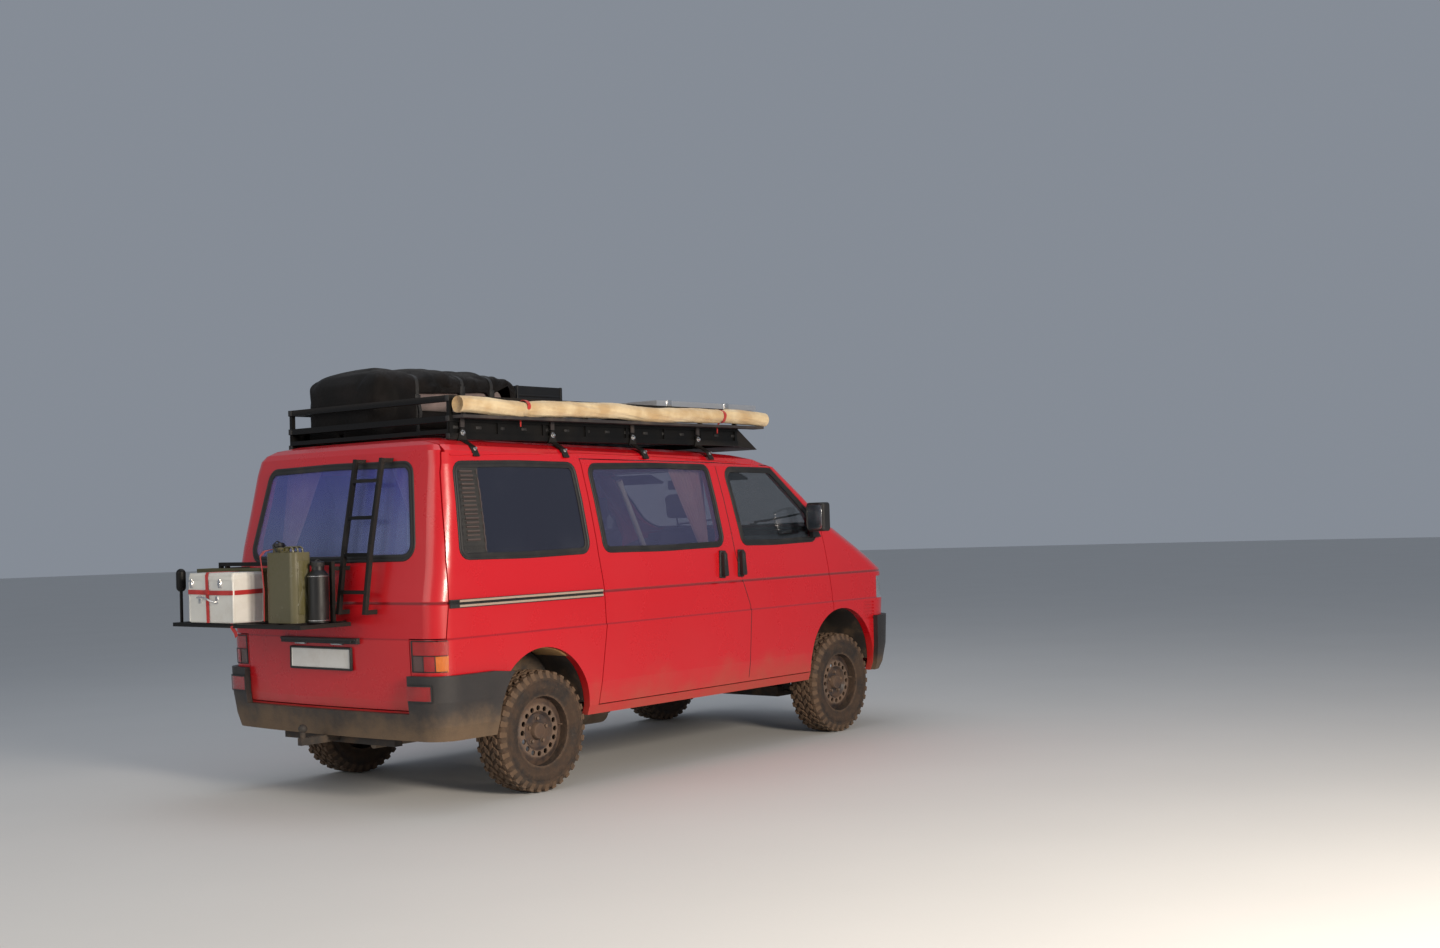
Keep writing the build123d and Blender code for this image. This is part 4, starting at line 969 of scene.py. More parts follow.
def seat(side_name, side):
    """Front seat: bolstered cushion and back, head rest on two posts, and the frame below them."""
    y = side * 0.42

    def bolster(a, height):
        """How far the outer edges of the upper face stand above its middle."""
        return height * max(0.0, abs(a.y) - 0.55) ** 2 * 6 * (a.z > 0)

    def cushioned(point, a):
        """The cushion's outer edges stand up, and its front edge falls."""
        point.z += bolster(a, 0.022) - 0.012 * (a.z > 0) * (a.x > 0.8)
        return point

    lean = Matrix.Translation((AXLE + 1.90, y, 0.95)) @ Matrix.Rotation(math.radians(-8), 4, "Y")

    def leaning(point, a):
        """The back is made lying down, then stood up."""
        stood = Vector((point.z, point.y - y, point.x))
        stood.x += bolster(a, 0.020)
        return lean @ stood

    label = f"seat_{side_name}"
    taken = ("front_seats",) if side > 0 else ()
    pad(label + "_cushion", "seat", "seat_fabric", (AXLE + 1.87, y - 0.235, 0.842),
        (AXLE + 2.375, y + 0.235, 0.955), cushioned, 0.03, 0.014, 0.02, 0.010, taken)
    pad(label + "_back", "seat", "seat_fabric", (0.0, y - 0.225, -0.055), (0.53, y + 0.225, 0.055), leaning,
        0.03, 0.010, 0.03, 0.010)
    pad(label + "_head_rest", "seat", "seat_fabric", (0.575, y - 0.125, -0.045), (0.735, y + 0.125, 0.045),
        leaning, 0.022, 0.008, 0.03, 0.008)
    frame_parts = Maker()
    frame_parts.block((AXLE + 1.89, y - 0.19, 0.541), (AXLE + 2.27, y + 0.19, 0.80), 0.012)
    for rail_y in (y - 0.20, y + 0.20):
        frame_parts.block((AXLE + 1.88, rail_y - 0.014, 0.80), (AXLE + 2.34, rail_y + 0.014, 0.83), 0.004)
        frame_parts.lathe([(-0.008, 0.030), (0.008, 0.030)], (AXLE + 1.885, rail_y, 0.905), (0, 1, 0), 20)
    for post_y in (-0.06, 0.06):
        frame_parts.tube([lean @ Vector((0, post_y, z)) for z in (0.50, 0.60)], 0.006, 10)
    frame_parts.done(label + "_frame", "body", "black_plastic", "seat_fabric")


def mattress():
    """Three cushions end to end, the rear one narrower between the wheel housings."""
    low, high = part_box("mattress")
    gap = 0.003
    length = (high.x - low.x - 4 * gap) / 3
    for k in range(3):
        start = low.x + gap + k * (length + gap)
        narrow = 0.10 if k == 0 else 0.03
        pad(f"mattress_{k + 1}", "mattress", "seat_fabric", (start, low.y + narrow, low.z + 0.001),
            (start + length, high.y - narrow, high.z - 0.006), None, 0.045, 0.010, 0.01, 0.006,
            ("mattress",) if k == 0 else ())


for side_name, side in SIDES.items():
    seat(side_name, side)
mattress()


def curtain(name, top, bottom, out, folds, replaces=(), sweep=1.0):
    """Gathered cloth between a top and a bottom edge, each a pair of points, its folds standing along out.

    The free edge is drawn aside sooner the larger sweep is.
    """
    out = Vector(out)
    deep = 0.011
    rows = []
    for i in range(33):
        t = i / 32
        first = Vector(top[0]).lerp(Vector(bottom[0]), 1 - (1 - t) ** sweep)
        last = Vector(top[1]).lerp(Vector(bottom[1]), t)
        row = []
        for j in range(folds * 10 + 1):
            s = j / (folds * 10)
            drift = 0.045 * math.sin(3.1 * t + 7 * s) + 0.03 * noise.noise(Vector((2 * t, 6 * s, 1.7)))
            wave = math.sin(2 * math.pi * folds * (s + drift * t))
            uneven = 0.65 + 0.5 * noise.noise(Vector((3 * s, 2 * t, 0.4)))
            row.append(first.lerp(last, s) + out * wave * deep * uneven)
        rows.append(row)
    maker = Maker()
    maker.sheet(rows)
    piece = maker.done(name, "body", "curtain", "curtain_fabric", replaces, 180)


def curtains():
    """A curtain drawn to each side of the rear window, one at the sliding door's window, and their rails."""
    hem_z = 1.335
    rear_top, side_top = 1.865, 1.845
    x = AXLE - 0.603
    for side_name, side in SIDES.items():
        curtain(f"curtain_rear_{side_name}",
                ((x + 0.03, side * 0.30, rear_top), (x + 0.03, side * 0.625, rear_top)),
                ((x, side * 0.590, hem_z), (x, side * 0.670, hem_z)), (1, 0, 0), 10 if side > 0 else 8,
                ("curtains",) if side > 0 else (), sweep=1.3 if side > 0 else 1.7)
    curtain("curtain_side_front", ((AXLE + 1.255, -0.760, side_top), (AXLE + 1.61, -0.760, side_top)),
            ((AXLE + 1.565, -0.768, hem_z), (AXLE + 1.640, -0.768, hem_z)), (0, 1, 0), 10, sweep=1.7)
    rails = Maker()
    rear_x, rear_z = AXLE - 0.573, rear_top + 0.007
    rails.tube([(rear_x, -0.66, rear_z), (rear_x, 0, rear_z + 0.004), (rear_x, 0.66, rear_z)], 0.005, 10)
    rails.tube([(AXLE + 0.50, -0.758, side_top + 0.007), (AXLE + 1.62, -0.758, side_top + 0.007)], 0.004, 10)
    rails.done("curtain_rail", "body", "aluminium", "curtain_fabric")


curtains()


# Folded roof tent: a padded base under a black cover, held by straps

TENT_LOW, TENT_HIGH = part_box("tent_pack")
COVER_REAR, COVER_FRONT = -0.42, 0.71
CREST = [(COVER_REAR, 2.365), (-0.412, 2.410), (-0.40, 2.432), (-0.37, 2.442), (-0.15, 2.444),
         (-0.10, 2.430), (-0.05, 2.452), (0.045, 2.461), (0.13, 2.455), (0.203, 2.438), (0.27, 2.450),
         (0.30, 2.460), (0.345, 2.434), (0.43, 2.453), (0.59, 2.460), (0.64, 2.43), (0.672, 2.36),
         (0.695, 2.25), (COVER_FRONT, 2.15)]
HEM = [(COVER_REAR, 2.046), (-0.15, 2.05), (-0.125, 2.300), (0.0, 2.306), (0.20, 2.312), (0.36, 2.324),
       (0.42, 2.326), (0.455, 2.285), (0.50, 2.33), (0.60, 2.375), (0.625, 2.28), (0.645, 2.08),
       (COVER_FRONT, 2.046)]
STRAPS = (-0.13, 0.225, 0.47)


def cover_section(x):
    """Points over the tent cover at one place along the van, from the left hem to the right one."""
    across, upright = 64, 0.26
    crest = between(CREST, x)
    hem = between(HEM, x)
    ends = min(1.0, (x - COVER_REAR) / 0.07, (COVER_FRONT - x) / 0.07)
    half = (TENT_HIGH.y - TENT_LOW.y) / 2 - 0.012 - 0.045 * (1 - max(0.0, ends)) ** 2
    spring = max(min(crest - 0.02, 2.345), hem + 0.01)
    tied = max(math.exp(-((x - s) / 0.035) ** 2) for s in STRAPS)
    points = []
    for j in range(across + 1):
        v = j / across
        if v < upright:
            y, z = half, hem + (spring - hem) * (v / upright)
        elif v > 1 - upright:
            y, z = -half, hem + (spring - hem) * ((1 - v) / upright)
        else:
            angle = math.pi * (v - upright) / (1 - 2 * upright)
            c, s = math.cos(angle), math.sin(angle)
            y = half * math.copysign(abs(c) ** 0.55, c)
            z = spring + (crest - spring) * abs(s) ** 0.6
        slope = max(0.0, y / half - 0.1) ** 2
        z -= 0.045 * slope * max(0.0, (z - spring) / 0.1)
        here = Vector((x * 6, y * 4, z * 5))
        crumpled = 0.35 if x < -0.13 else 1.7 if y < 0 else 1.0
        fold = (noise.noise(here) * 0.012 + noise.noise(here * 2.7) * 0.006) * crumpled
        bias = math.sin(46 * x - 30 * (z - 2.3) + 5 * noise.noise(here * 0.8)) * 0.0055 * crumpled
        sag = math.sin(x * 21 + 5 * noise.noise(Vector((x * 3, y * 2, 1)))) * 0.005 * (1 - tied) * crumpled
        lift = (fold + (sag + bias) * (z > spring)) * (1 - 0.85 * tied) - 0.010 * tied
        steep = 0.8 * max(0.0, (z - spring) / max(0.02, crest - spring))
        outward = Vector((0, y / half, steep)).normalized()
        at = Vector((AXLE + x, (TENT_LOW.y + TENT_HIGH.y) / 2 + y, z)) + outward * (lift - 0.004)
        at.z = min(at.z, TENT_HIGH.z - 0.003)
        points.append(at)
    return points


def closing_rows(edge, inward):
    """Rows that close one end of the tent cover, from near its middle out to its edge."""
    heart = Vector((edge[0].x, (edge[0].y + edge[-1].y) / 2, edge[0].z))
    return [[heart + (p - heart) * share + Vector((inward * 0.004 * share, 0, 0)) for p in edge]
            for share in (0.04, 0.25, 0.5, 0.75, 0.93)]


def tent_cover():
    """Black cover, closed at both ends and swollen between its straps."""
    sections = [cover_section(x) for x in steps(COVER_REAR, COVER_FRONT, 119)]
    rows = closing_rows(sections[0], 1) + sections + closing_rows(sections[-1], -1)[::-1]
    cover = Maker().sheet(rows).done("tent_cover_skin", "body", "tent", "tent_cover", ("tent_pack",), 180)
    width = len(rows[0])
    held = []
    for i, row in enumerate(rows):
        by_strap = min(abs(row[0].x - AXLE - s) for s in STRAPS) < 0.012
        whole = by_strap or i in (0, len(rows) - 1)
        held += [i * width + j for j in range(width) if whole or j in (0, width - 1)]
    swell(cover, 0.016, held, 3.0)
    solid = cover.modifiers.new("thickness", "SOLIDIFY")
    solid.thickness = 0.003
    solid.offset = 1
    smooth_once(cover)


def tent_straps():
    """Webbing over the cover, each strap with a buckle and a loose end, and a clip on the crown."""
    straps = Maker()
    foot_z = 2.05
    heart = Vector((0, (TENT_LOW.y + TENT_HIGH.y) / 2, 2.2))
    for x in STRAPS:
        over = cover_section(x)
        lean = 0.05 if x > 0.4 else 0.0
        path = [Vector((over[0].x - lean, over[0].y, foot_z)), *over,
                Vector((over[-1].x + lean, over[-1].y, foot_z))]
        normals = [Vector((0, p.y - heart.y, p.z - heart.z)) for p in path]
        straps.sweep(path, band(0.025, 0.0035, 0.0060), normals)
        buckle = over[-1] + Vector((0, -0.006, 0.012))
        half = Vector((0.021, 0.006, 0.030))
        straps.block(buckle - half, buckle + half, 0.004)
        tail = [buckle + Vector(drop) for drop in ((0.004, -0.008, -0.02), (0.012, -0.012, -0.08),
                                                   (0.006, -0.007, -0.14))]
        straps.sweep(tail, band(0.022, 0, 0.002), [(0, -1, 0)] * 3)
    crown = cover_section(0.36)[34]
    straps.block(crown + Vector((-0.022, -0.018, -0.004)), crown + Vector((0.022, 0.018, 0.010)), 0.006)
    straps.done("tent_straps", "body", "black_plastic", "tent_cover")


def tent():
    """Three padded layers, the cover and its straps."""
    floor_z = TENT_LOW.z + 0.001
    layers = (("tent", floor_z, floor_z + 0.045, 0.028), ("tent", floor_z + 0.048, 2.20, 0.020),
              ("tent_grey", 2.203, 2.355, 0.030))
    for k, (finish, low_z, high_z, inset) in enumerate(layers):
        pad(f"tent_layer_{k + 1}", finish, "tent_cover",
            (TENT_LOW.x + 0.03 + inset, TENT_LOW.y + inset, low_z),
            (TENT_HIGH.x - 0.04 - inset, TENT_HIGH.y - inset, high_z), None, 0.04, 0.004, 0.012, 0.008, (),
            0.0035)
    tent_cover()
    tent_straps()


tent()


# What stands on the carrier

def flat_strap(maker, path, width, normals):
    """Webbing along a path."""
    maker.sweep(path, band(width, 0.0004, 0.0022), normals)


def box_trim(low, high):
    """Lid with its rim, and a rib up each corner."""
    seam_z = high.z - 0.030
    corner, rim_radius = 0.012, 0.0125
    trim = Maker()
    rim = []
    for x, y, start in ((low.x + corner, low.y + corner, 180), (high.x - corner, low.y + corner, 270),
                        (high.x - corner, high.y - corner, 0), (low.x + corner, high.y - corner, 90)):
        for turn in range(5):
            a = math.radians(90 * turn / 4) + math.radians(start)
            rim.append(Vector((x + rim_radius * math.cos(a), y + rim_radius * math.sin(a), seam_z)))
    heart = sum(rim, Vector()) / len(rim)
    out = [(p - heart) * Vector((1, 0.25, 0)) for p in rim]
    trim.sweep(rim, [(-0.011, -0.001), (-0.011, 0.0032), (0.006, 0.0032), (0.006, -0.001)], out, loop=True)
    trim.block((low.x + 0.004, low.y + 0.004, high.z - 0.003),
               (high.x - 0.004, high.y - 0.004, high.z + 0.002), 0.003)
    for y in (low.y + 0.006, high.y - 0.006):
        for x in (low.x + 0.006, high.x - 0.006):
            trim.block((x - 0.008, y - 0.008, low.z + 0.004), (x + 0.008, y + 0.008, seam_z - 0.014), 0.006)
    trim.done("box_lid_and_ribs", "tailgate", "white_box", "box_plastic")


def box_metal(rear_x):
    """Two latches and a bent handle on the box's rear side."""
    metal = Maker()
    face = rear_x - 0.001
    for y in (0.609, 0.344):
        metal.block((face - 0.003, y - 0.017, 1.205), (face + 0.001, y + 0.017, 1.243), 0.002)
        metal.block((face - 0.009, y - 0.013, 1.212), (face - 0.002, y + 0.013, 1.236), 0.004)
        metal.tube([(face - 0.009, y - 0.011, 1.240), (face - 0.009, y + 0.011, 1.240)], 0.0032, 10)
        metal.block((face - 0.007, y - 0.010, 1.236), (face - 0.002, y + 0.010, 1.254), 0.002)
    handle = [(0, 0.535, 1.149), (0.022, 0.530, 1.152), (0.030, 0.49, 1.156), (0.030, 0.44, 1.150),
              (0.026, 0.40, 1.134), (0.016, 0.378, 1.128), (0, 0.376, 1.129)]
    for y_high, y_low in ((0.548, 0.522), (0.389, 0.363)):
        metal.block((rear_x - 0.003, y_low, 1.118), (rear_x + 0.001, y_high, 1.160), 0.002)
    metal.tube([(rear_x - out, y, z) for out, y, z in handle],
               [0.005, 0.005, 0.006, 0.006, 0.006, 0.005, 0.005], 12)
    metal.done("box_latches", "tailgate", "wire", "panel_frame")


def box_straps(low, high):
    """Red webbing round the box and over it, with a buckle and a loose end."""
    straps = Maker()
    half_x, half_y = (high.x - low.x) / 2 + 0.003, (high.y - low.y) / 2 + 0.003
    around = []
    for a in turns(40):
        c, s = math.cos(a), math.sin(a)
        reach = max(abs(c) / half_x, abs(s) / half_y)
        around.append(Vector(((low.x + high.x) / 2 + c / reach, (low.y + high.y) / 2 + s / reach,
                              1.182 + 0.004 * math.sin(a + 1))))
    heart = sum(around, Vector()) / len(around)
    out = [Vector(((p.x - heart.x) * 2.1, p.y - heart.y, 0)) for p in around]
    straps.sweep(around, band(0.025, 0.0005, 0.0028), out, loop=True)
    y, off = 0.46, 0.004
    hoop = [(low.x - off, y - 0.004, low.z + 0.002), (low.x - off, y, 1.15),
            (low.x - off, y + 0.003, high.z - 0.01), (low.x + off, y + 0.003, high.z + off),
            (high.x - off, y + 0.002, high.z + off), (high.x + off, y, high.z - 0.01),
            (high.x + off, y, low.z + 0.002)]
    flat_strap(straps, hoop, 0.025, [(-1, 0, 0), (-1, 0, 0), (-1, 0, 0.4), (-0.4, 0, 1), (0.4, 0, 1),
                                     (1, 0, 0.4), (1, 0, 0)])
    straps.block((low.x - 0.012, y - 0.018, 1.168), (low.x - 0.004, y + 0.018, 1.196), 0.003)
    tail = [(low.x + 0.01, low.y + 0.035, low.z + 0.002), (low.x + 0.006, low.y + 0.022, low.z - 0.020),
            (low.x + 0.014, low.y + 0.002, low.z - 0.050), (low.x + 0.010, low.y - 0.012, low.z - 0.072)]
    flat_strap(straps, tail, 0.025, [(-1, 0, 0.1)] * 4)
    straps.done("box_straps", "tailgate", "webbing", "box_plastic")


def storage_box():
    """Fittings of the white box on the carrier."""
    low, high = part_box("storage_box")
    box_trim(low, high)
    box_metal(low.x)
    box_straps(low, high)


storage_box()


def can_shell(low, high, top):
    """Pressed ribs on the flat sides, welded seam and three handles."""
    mid_x = (low.x + high.x) / 2
    shell = Maker()
    shell.block((low.x + 0.030, low.y - 0.0035, low.z + 0.045), (high.x - 0.030, low.y + 0.002, top - 0.045),
                0.0035)
    for y, out in ((low.y, -1), (high.y, 1)):
        rib_low, rib_high = low.z + 0.09, top - 0.09
        for start_z, end_z in ((rib_high, rib_low), (rib_low, rib_high)):
            a = Vector((low.x + 0.034, y + out * 0.002, start_z))
            b = Vector((high.x - 0.034, y + out * 0.002, end_z))
            shell.sweep([a, (a + b) / 2, b], lip(0.010, 0.006, 0.003, 0.004), [(0, out, 0)] * 3)
    half_y, half_z = (high.y - low.y) / 2 + 0.002, (top - low.z) / 2 + 0.001
    seam = [Vector((mid_x, (low.y + high.y) / 2 + y, (low.z + top) / 2 + z))
            for y, z in rounded_oblong(half_y, half_z, 9, 48)]
    shell.tube(seam, 0.004, 8, True)
    handle = ((0.040, -0.004), (0.044, 0.020), (0.058, 0.028), (0.105, 0.028), (0.119, 0.020),
              (0.123, -0.004))
    for x in (mid_x - 0.032, mid_x, mid_x + 0.032):
        shell.tube([(x, low.y + y, top + z) for y, z in handle], 0.0055, 10)
    shell.done("can_ribs_and_handles", "tailgate", "olive", "can_paint")


def can_cap(mid_x, y, top):
    """Screwed cap with its clamp."""
    cap = Maker()
    cap.lathe([(0, 0.030), (0.026, 0.030), (0.030, 0.034), (0.046, 0.034), (0.050, 0.028)],
              (mid_x, y, top - 0.002), (0, 0.35, 1), 24)
    clamp = ((-0.040, -0.02, 0.004), (-0.040, 0.012, 0.040), (0, 0.028, 0.062), (0.040, 0.012, 0.040),
             (0.040, -0.02, 0.004))
    cap.tube([(mid_x + dx, y + dy, top + dz) for dx, dy, dz in clamp], 0.004, 8)
    cap.done("can_cap", "tailgate", "case", "can_paint")


def can_strap(low, high):
    """Red webbing down the can's rear corner and over its top."""
    mid_x = (low.x + high.x) / 2
    strap = Maker()
    down = [(low.x - 0.012, high.y + 0.020, 1.372), (low.x - 0.010, high.y + 0.008, 1.30),
            (low.x - 0.008, high.y - 0.004, 1.18), (low.x - 0.006, high.y + 0.004, 1.02)]
    flat_strap(strap, down, 0.028, [(-1, 0.5, 0)] * 4)
    over = [down[0], (low.x + 0.01, high.y + 0.012, 1.400), (mid_x + 0.02, high.y + 0.008, 1.412),
            (high.x + 0.004, high.y + 0.006, 1.39), (high.x + 0.006, high.y + 0.004, 1.20),
            (high.x + 0.006, high.y + 0.004, 1.02)]
    flat_strap(strap, over, 0.028, [(-1, 0.3, 0.5), (-0.3, 0, 1), (0, 0, 1), (1, 0, 0.5), (1, 0, 0),
                                    (1, 0, 0)])
    strap.done("can_strap", "tailgate", "webbing", "can_paint")


def fuel_can():
    """Fittings of the olive can on the carrier."""
    low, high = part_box("can")
    top = 1.392
    can_shell(low, high, top)
    can_cap((low.x + high.x) / 2, high.y - 0.055, top)
    can_strap(low, high)


fuel_can()


def flask():
    """Wire handle, two wire hoops and a cap."""
    low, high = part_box("flask")
    x, y = (low.x + high.x) / 2, (low.y + high.y) / 2
    radius = (high.y - low.y) / 2
    wire = Maker()
    handle = ((-0.012, 0, 1.250), (-0.020, 0.012, 1.255), (-0.020, 0.026, 1.225), (-0.020, 0.030, 1.180),
              (-0.020, 0.022, 1.140), (-0.020, 0.004, 1.132), (-0.012, -0.002, 1.136))
    wire.tube([(x + dx, y + radius + dy, z) for dx, dy, z in handle], 0.0026, 8)
    for z in (low.z + 0.012, high.z - 0.070):
        wire.tube(circle((x, y, z), radius + 0.001, 36, "xy"), 0.0022, 6, True)
    wire.done("flask_wire", "tailgate", "wire", "flask_coat")
    top = Maker()
    top.lathe([(0, 0.0345), (0.006, 0.036), (0.022, 0.036), (0.026, 0.032), (0.030, 0.012)],
              (x, y, high.z - 0.018), (0, 0, 1), 28)
    top.tube([(x - 0.02, y, high.z + 0.008), (x, y, high.z + 0.020), (x + 0.02, y, high.z + 0.008)], 0.004, 8)
    top.done("flask_cap", "tailgate", "black_plastic", "flask_coat")


def crate():
    """Lip and corner post of the crate, and rolled goods inside it."""
    low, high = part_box("crate")
    lip_bars = Maker()
    corners = [(low.x, low.y), (high.x, low.y), (high.x, high.y), (low.x, high.y)]
    for (ax, ay), (bx, by) in zip(corners, corners[1:] + corners[:1]):
        lip_bars.block((min(ax, bx) - 0.005, min(ay, by) - 0.005, high.z - 0.018),
                       (max(ax, bx) + 0.005, max(ay, by) + 0.005, high.z + 0.002), 0.003)
    lip_bars.block((low.x - 0.004, high.y - 0.004, low.z + 0.01),
                   (low.x + 0.014, high.y + 0.006, high.z - 0.004), 0.003)
    lip_bars.done("crate_lip", "tailgate", "dull_olive", "can_paint")
    pad("crate_bundle", "tent_grey", "tent_cover", (low.x + 0.012, low.y + 0.03, low.z + 0.05),
        (high.x - 0.012, high.y - 0.16, high.z - 0.020), None, 0.025, 0.010, 0.03, 0.008, (), 0, "tailgate")


flask()
crate()


# Trim on the body

NUDGES = [(0, 0)] + [(reach * dx, reach * dy) for reach in (0.008, 0.016, 0.024)
                     for dx, dy in ((1, 0), (-1, 0), (0, 1), (0, -1))]


def cast(start, direction, across, up, lift, skin, good):
    """Place and normal where a ray meets the skin, moved a little aside where it would go through a seam."""
    for dx, dy in NUDGES:
        shift = Vector(across) * dx + Vector(up) * dy
        hit = touch(Vector(start) + shift, direction, skin)
        if hit and good(hit[0]):
            return hit[0] - shift + hit[1] * lift, hit[1]
    raise ValueError(f"nothing at {tuple(start)}")


def cast_side(x, z, side, lift=0.0, skin=BODY_SKIN):
    """Place and normal on the van's side at one x and z."""
    return cast((AXLE + x, side * 3, z), (0, -side, 0), (1, 0, 0), (0, 0, 1), lift, skin,
                lambda p: p.y * side > 0.6)


def cast_end(y, z, end, lift=0.0, skin=BODY_SKIN):
    """Place and normal on the rear (-1) or front (1) of the van."""
    return cast((AXLE + 1.2 + end * 6, y, z), (-end, 0, 0), (0, 1, 0), (0, 0, 1), lift, skin,
                lambda p: (p.x - AXLE - 1.2) * end > 1.0)


def cast_down(x, y):
    """Place and normal on the roof or bonnet."""
    return cast((AXLE + x, y, 4), (0, 0, -1), (1, 0, 0), (0, 1, 0), 0.0, BODY_SKIN, lambda p: p.z > 0.9)


def level_row(side, z, span, count, end, skin=BODY_SKIN):
    """Cast places side by side at one height of the rear (-1) or front (1)."""
    return [cast_end(side * y, z, end, 0, skin) for y in steps(*span, count)]


def upright_row(side, y, span, count, end, skin=BODY_SKIN):
    """Cast places one above another on the rear (-1) or front (1)."""
    return [cast_end(side * y, z, end, 0, skin) for z in steps(*span, count)]


def strip(maker, spots, profile):
    """Profile carried along cast places."""
    maker.sweep([p for p, _ in spots], profile, [n for _, n in spots])


def border(rows):
    """The points round the edge of a grid, back to the first one."""
    edge = rows[0] + [row[-1] for row in rows[1:]] + rows[-1][-2::-1] + [row[0] for row in rows[-2:0:-1]]
    return edge + edge[:1]


def raised(maker, rows, out):
    """Low block over a grid of cast places: its face stands out, its edge goes down into the skin."""
    sink = 0.003
    top = [[p + n * out for p, n in row] for row in rows]
    low = [[p - n * sink for p, n in row] for row in rows]
    maker.sheet(top)
    maker.sheet([list(reversed(row)) for row in low])
    maker.sheet([border(top), border(low)])
    bmesh.ops.remove_doubles(maker.mesh, verts=maker.mesh.verts, dist=0.00003)


def roof_trim():
    """Pressed beads along the roof and the drip line above the side windows."""
    beads = Maker()
    for y in (-0.42, -0.21, 0.0, 0.21, 0.42):
        strip(beads, [cast_down(x, y) for x in steps(-0.30, 1.55, 38)], lip(0.016, 0.009, 0.0035))
    beads.done("roof_beads", "body", "red", "red_paint")
    drip = Maker()
    rear, front = -0.60, 2.12
    line = [(rear, 1.893), (-0.21, 1.903), (0.44, 1.911), (1.10, 1.898), (1.921, 1.867), (front, 1.852)]
    for side in (-1, 1):
        spots = [cast_side(x, between(line, x), side) for x in steps(rear, front, 60)]
        strip(drip, spots, [(-0.006, -0.001), (-0.005, 0.0045), (0.003, 0.006), (0.006, -0.001)])
    drip.done("drip_lines", "body", "red", "red_paint")


def slide_rail_trim():
    """Two pale lips along the sliding door's rail."""
    lips = Maker()
    for z in (1.0830, 1.1090):
        spots = [(Vector((AXLE + x, cast_side(x, 1.125, -1)[0].y - 0.0125, z)), Vector((0, -1, 0)))
                 for x in steps(-0.655, 0.466, 60)]
        strip(lips, spots, lip(0.0065, 0.0055, 0.003))
    lips.done("slide_rail_lips", "body", "rail", "door_fittings")


def handle(name, body, along, side):
    """Grip frame, paddle and lock barrel of one side door, leaning with the van's side."""
    lean = Matrix.Rotation(math.radians(3.0), 4, "Y")
    x, y = AXLE + along, cast_side(along, 1.215, side)[0].y
    maker = Maker()
    maker.block((x - 0.030, y - 0.008 + side * 0.004, 1.128), (x + 0.030, y + 0.008 + side * 0.004, 1.304),
                0.007, 3, lean)
    maker.block((x - 0.014, y + side * 0.012 - 0.004, 1.150), (x + 0.013, y + side * 0.039, 1.284), 0.007, 3,
                lean)
    maker.lathe([(0, 0.010), (0.004, 0.010), (0.006, 0.008)], (x + 0.002, y + side * 0.012, 1.138),
                (0, side, 0), 20)
    maker.done(f"handle_{name}", body, "black_plastic", "door_fittings")


def mirror(side_name, side):
    """Glass, shell rim and joint boot of one door mirror."""
    x = AXLE + 2.480
    low_z, high_z = 1.416, 1.583
    low_y, high_y = sorted((side * 0.957, side * 1.080))
    mid_y, mid_z = (low_y + high_y) / 2, (low_z + high_z) / 2
    pane = Maker()
    pane.block((x - 0.0015, low_y + 0.004, low_z), (x + 0.002, high_y - 0.004, high_z), 0.010, 3)
    pane.done(f"mirror_glass_{side_name}", f"door_{side_name}", "mirror", "door_fittings")
    rim = Maker()
    shell_edge = [(x + 0.001, mid_y + y, mid_z + z) for y, z in rounded_oblong(0.066, 0.091, 5, 40)]
    rim.tube(shell_edge, 0.0055, 8, True)
    boot = [(AXLE + 2.60, side * 0.916, 1.427), (AXLE + 2.57, side * 0.940, 1.432),
            (AXLE + 2.54, side * 0.958, 1.438)]
    rim.tube(boot, [0.024, 0.020, 0.017], 16)
    rim.done(f"mirror_rim_{side_name}", f"door_{side_name}", "black_plastic", "door_fittings")


TAIL_LAMP_SKIN = skin_of("tail_lamps", "sides", "tailgate", "bumpers")
HEADLAMP_SKIN = skin_of("headlamps", "wings", "front_panel", "bonnet")


def tail_lamp_frame(side_name, side):
    """Rubber edge and divisions of one tail lamp, carried round the corner."""
    low_z, middle_z, high_z = 0.741, 0.826, 0.904
    edges = Maker()
    strip(edges, upright_row(side, 0.724, (low_z, high_z), 8, -1, TAIL_LAMP_SKIN), lip(0.005, 0.004, 0.004))
    for z in (low_z, middle_z, high_z):
        spots = level_row(side, z, (0.722, 0.885), 14, -1, TAIL_LAMP_SKIN)
        spots += [cast_side(x, z, side, 0, TAIL_LAMP_SKIN) for x in steps(-0.79, -0.735, 5)]
        strip(edges, spots, lip(0.003, 0.002, 0.0025))
    for y in (0.800, 0.868):
        spots = upright_row(side, y, (low_z, middle_z), 5, -1, TAIL_LAMP_SKIN)
        strip(edges, spots, lip(0.003, 0.002, 0.0025))
    edges.done(f"tail_lamp_frame_{side_name}", "body", "rubber", "tail_lamp")


def bumper_lamp(side_name, side):
    """Red lens in the bumper, with its rim."""
    lens = Maker()
    raised(lens, [level_row(side, z, (0.712, 0.868), 12, -1) for z in steps(0.590, 0.668, 4)], 0.006)
    lens.done(f"bumper_lamp_{side_name}", "body", "lamp_red", "tail_lamp")
    low_z, high_z = 0.587, 0.671
    rim = Maker()
    for z in (low_z, high_z):
        strip(rim, level_row(side, z, (0.706, 0.874), 12, -1), lip(0.004, 0.004, 0.007))
    for y in (0.708, 0.872):
        strip(rim, upright_row(side, y, (low_z, high_z), 4, -1), lip(0.004, 0.004, 0.007))
    rim.done(f"bumper_lamp_rim_{side_name}", "body", "black_plastic", "tail_lamp")


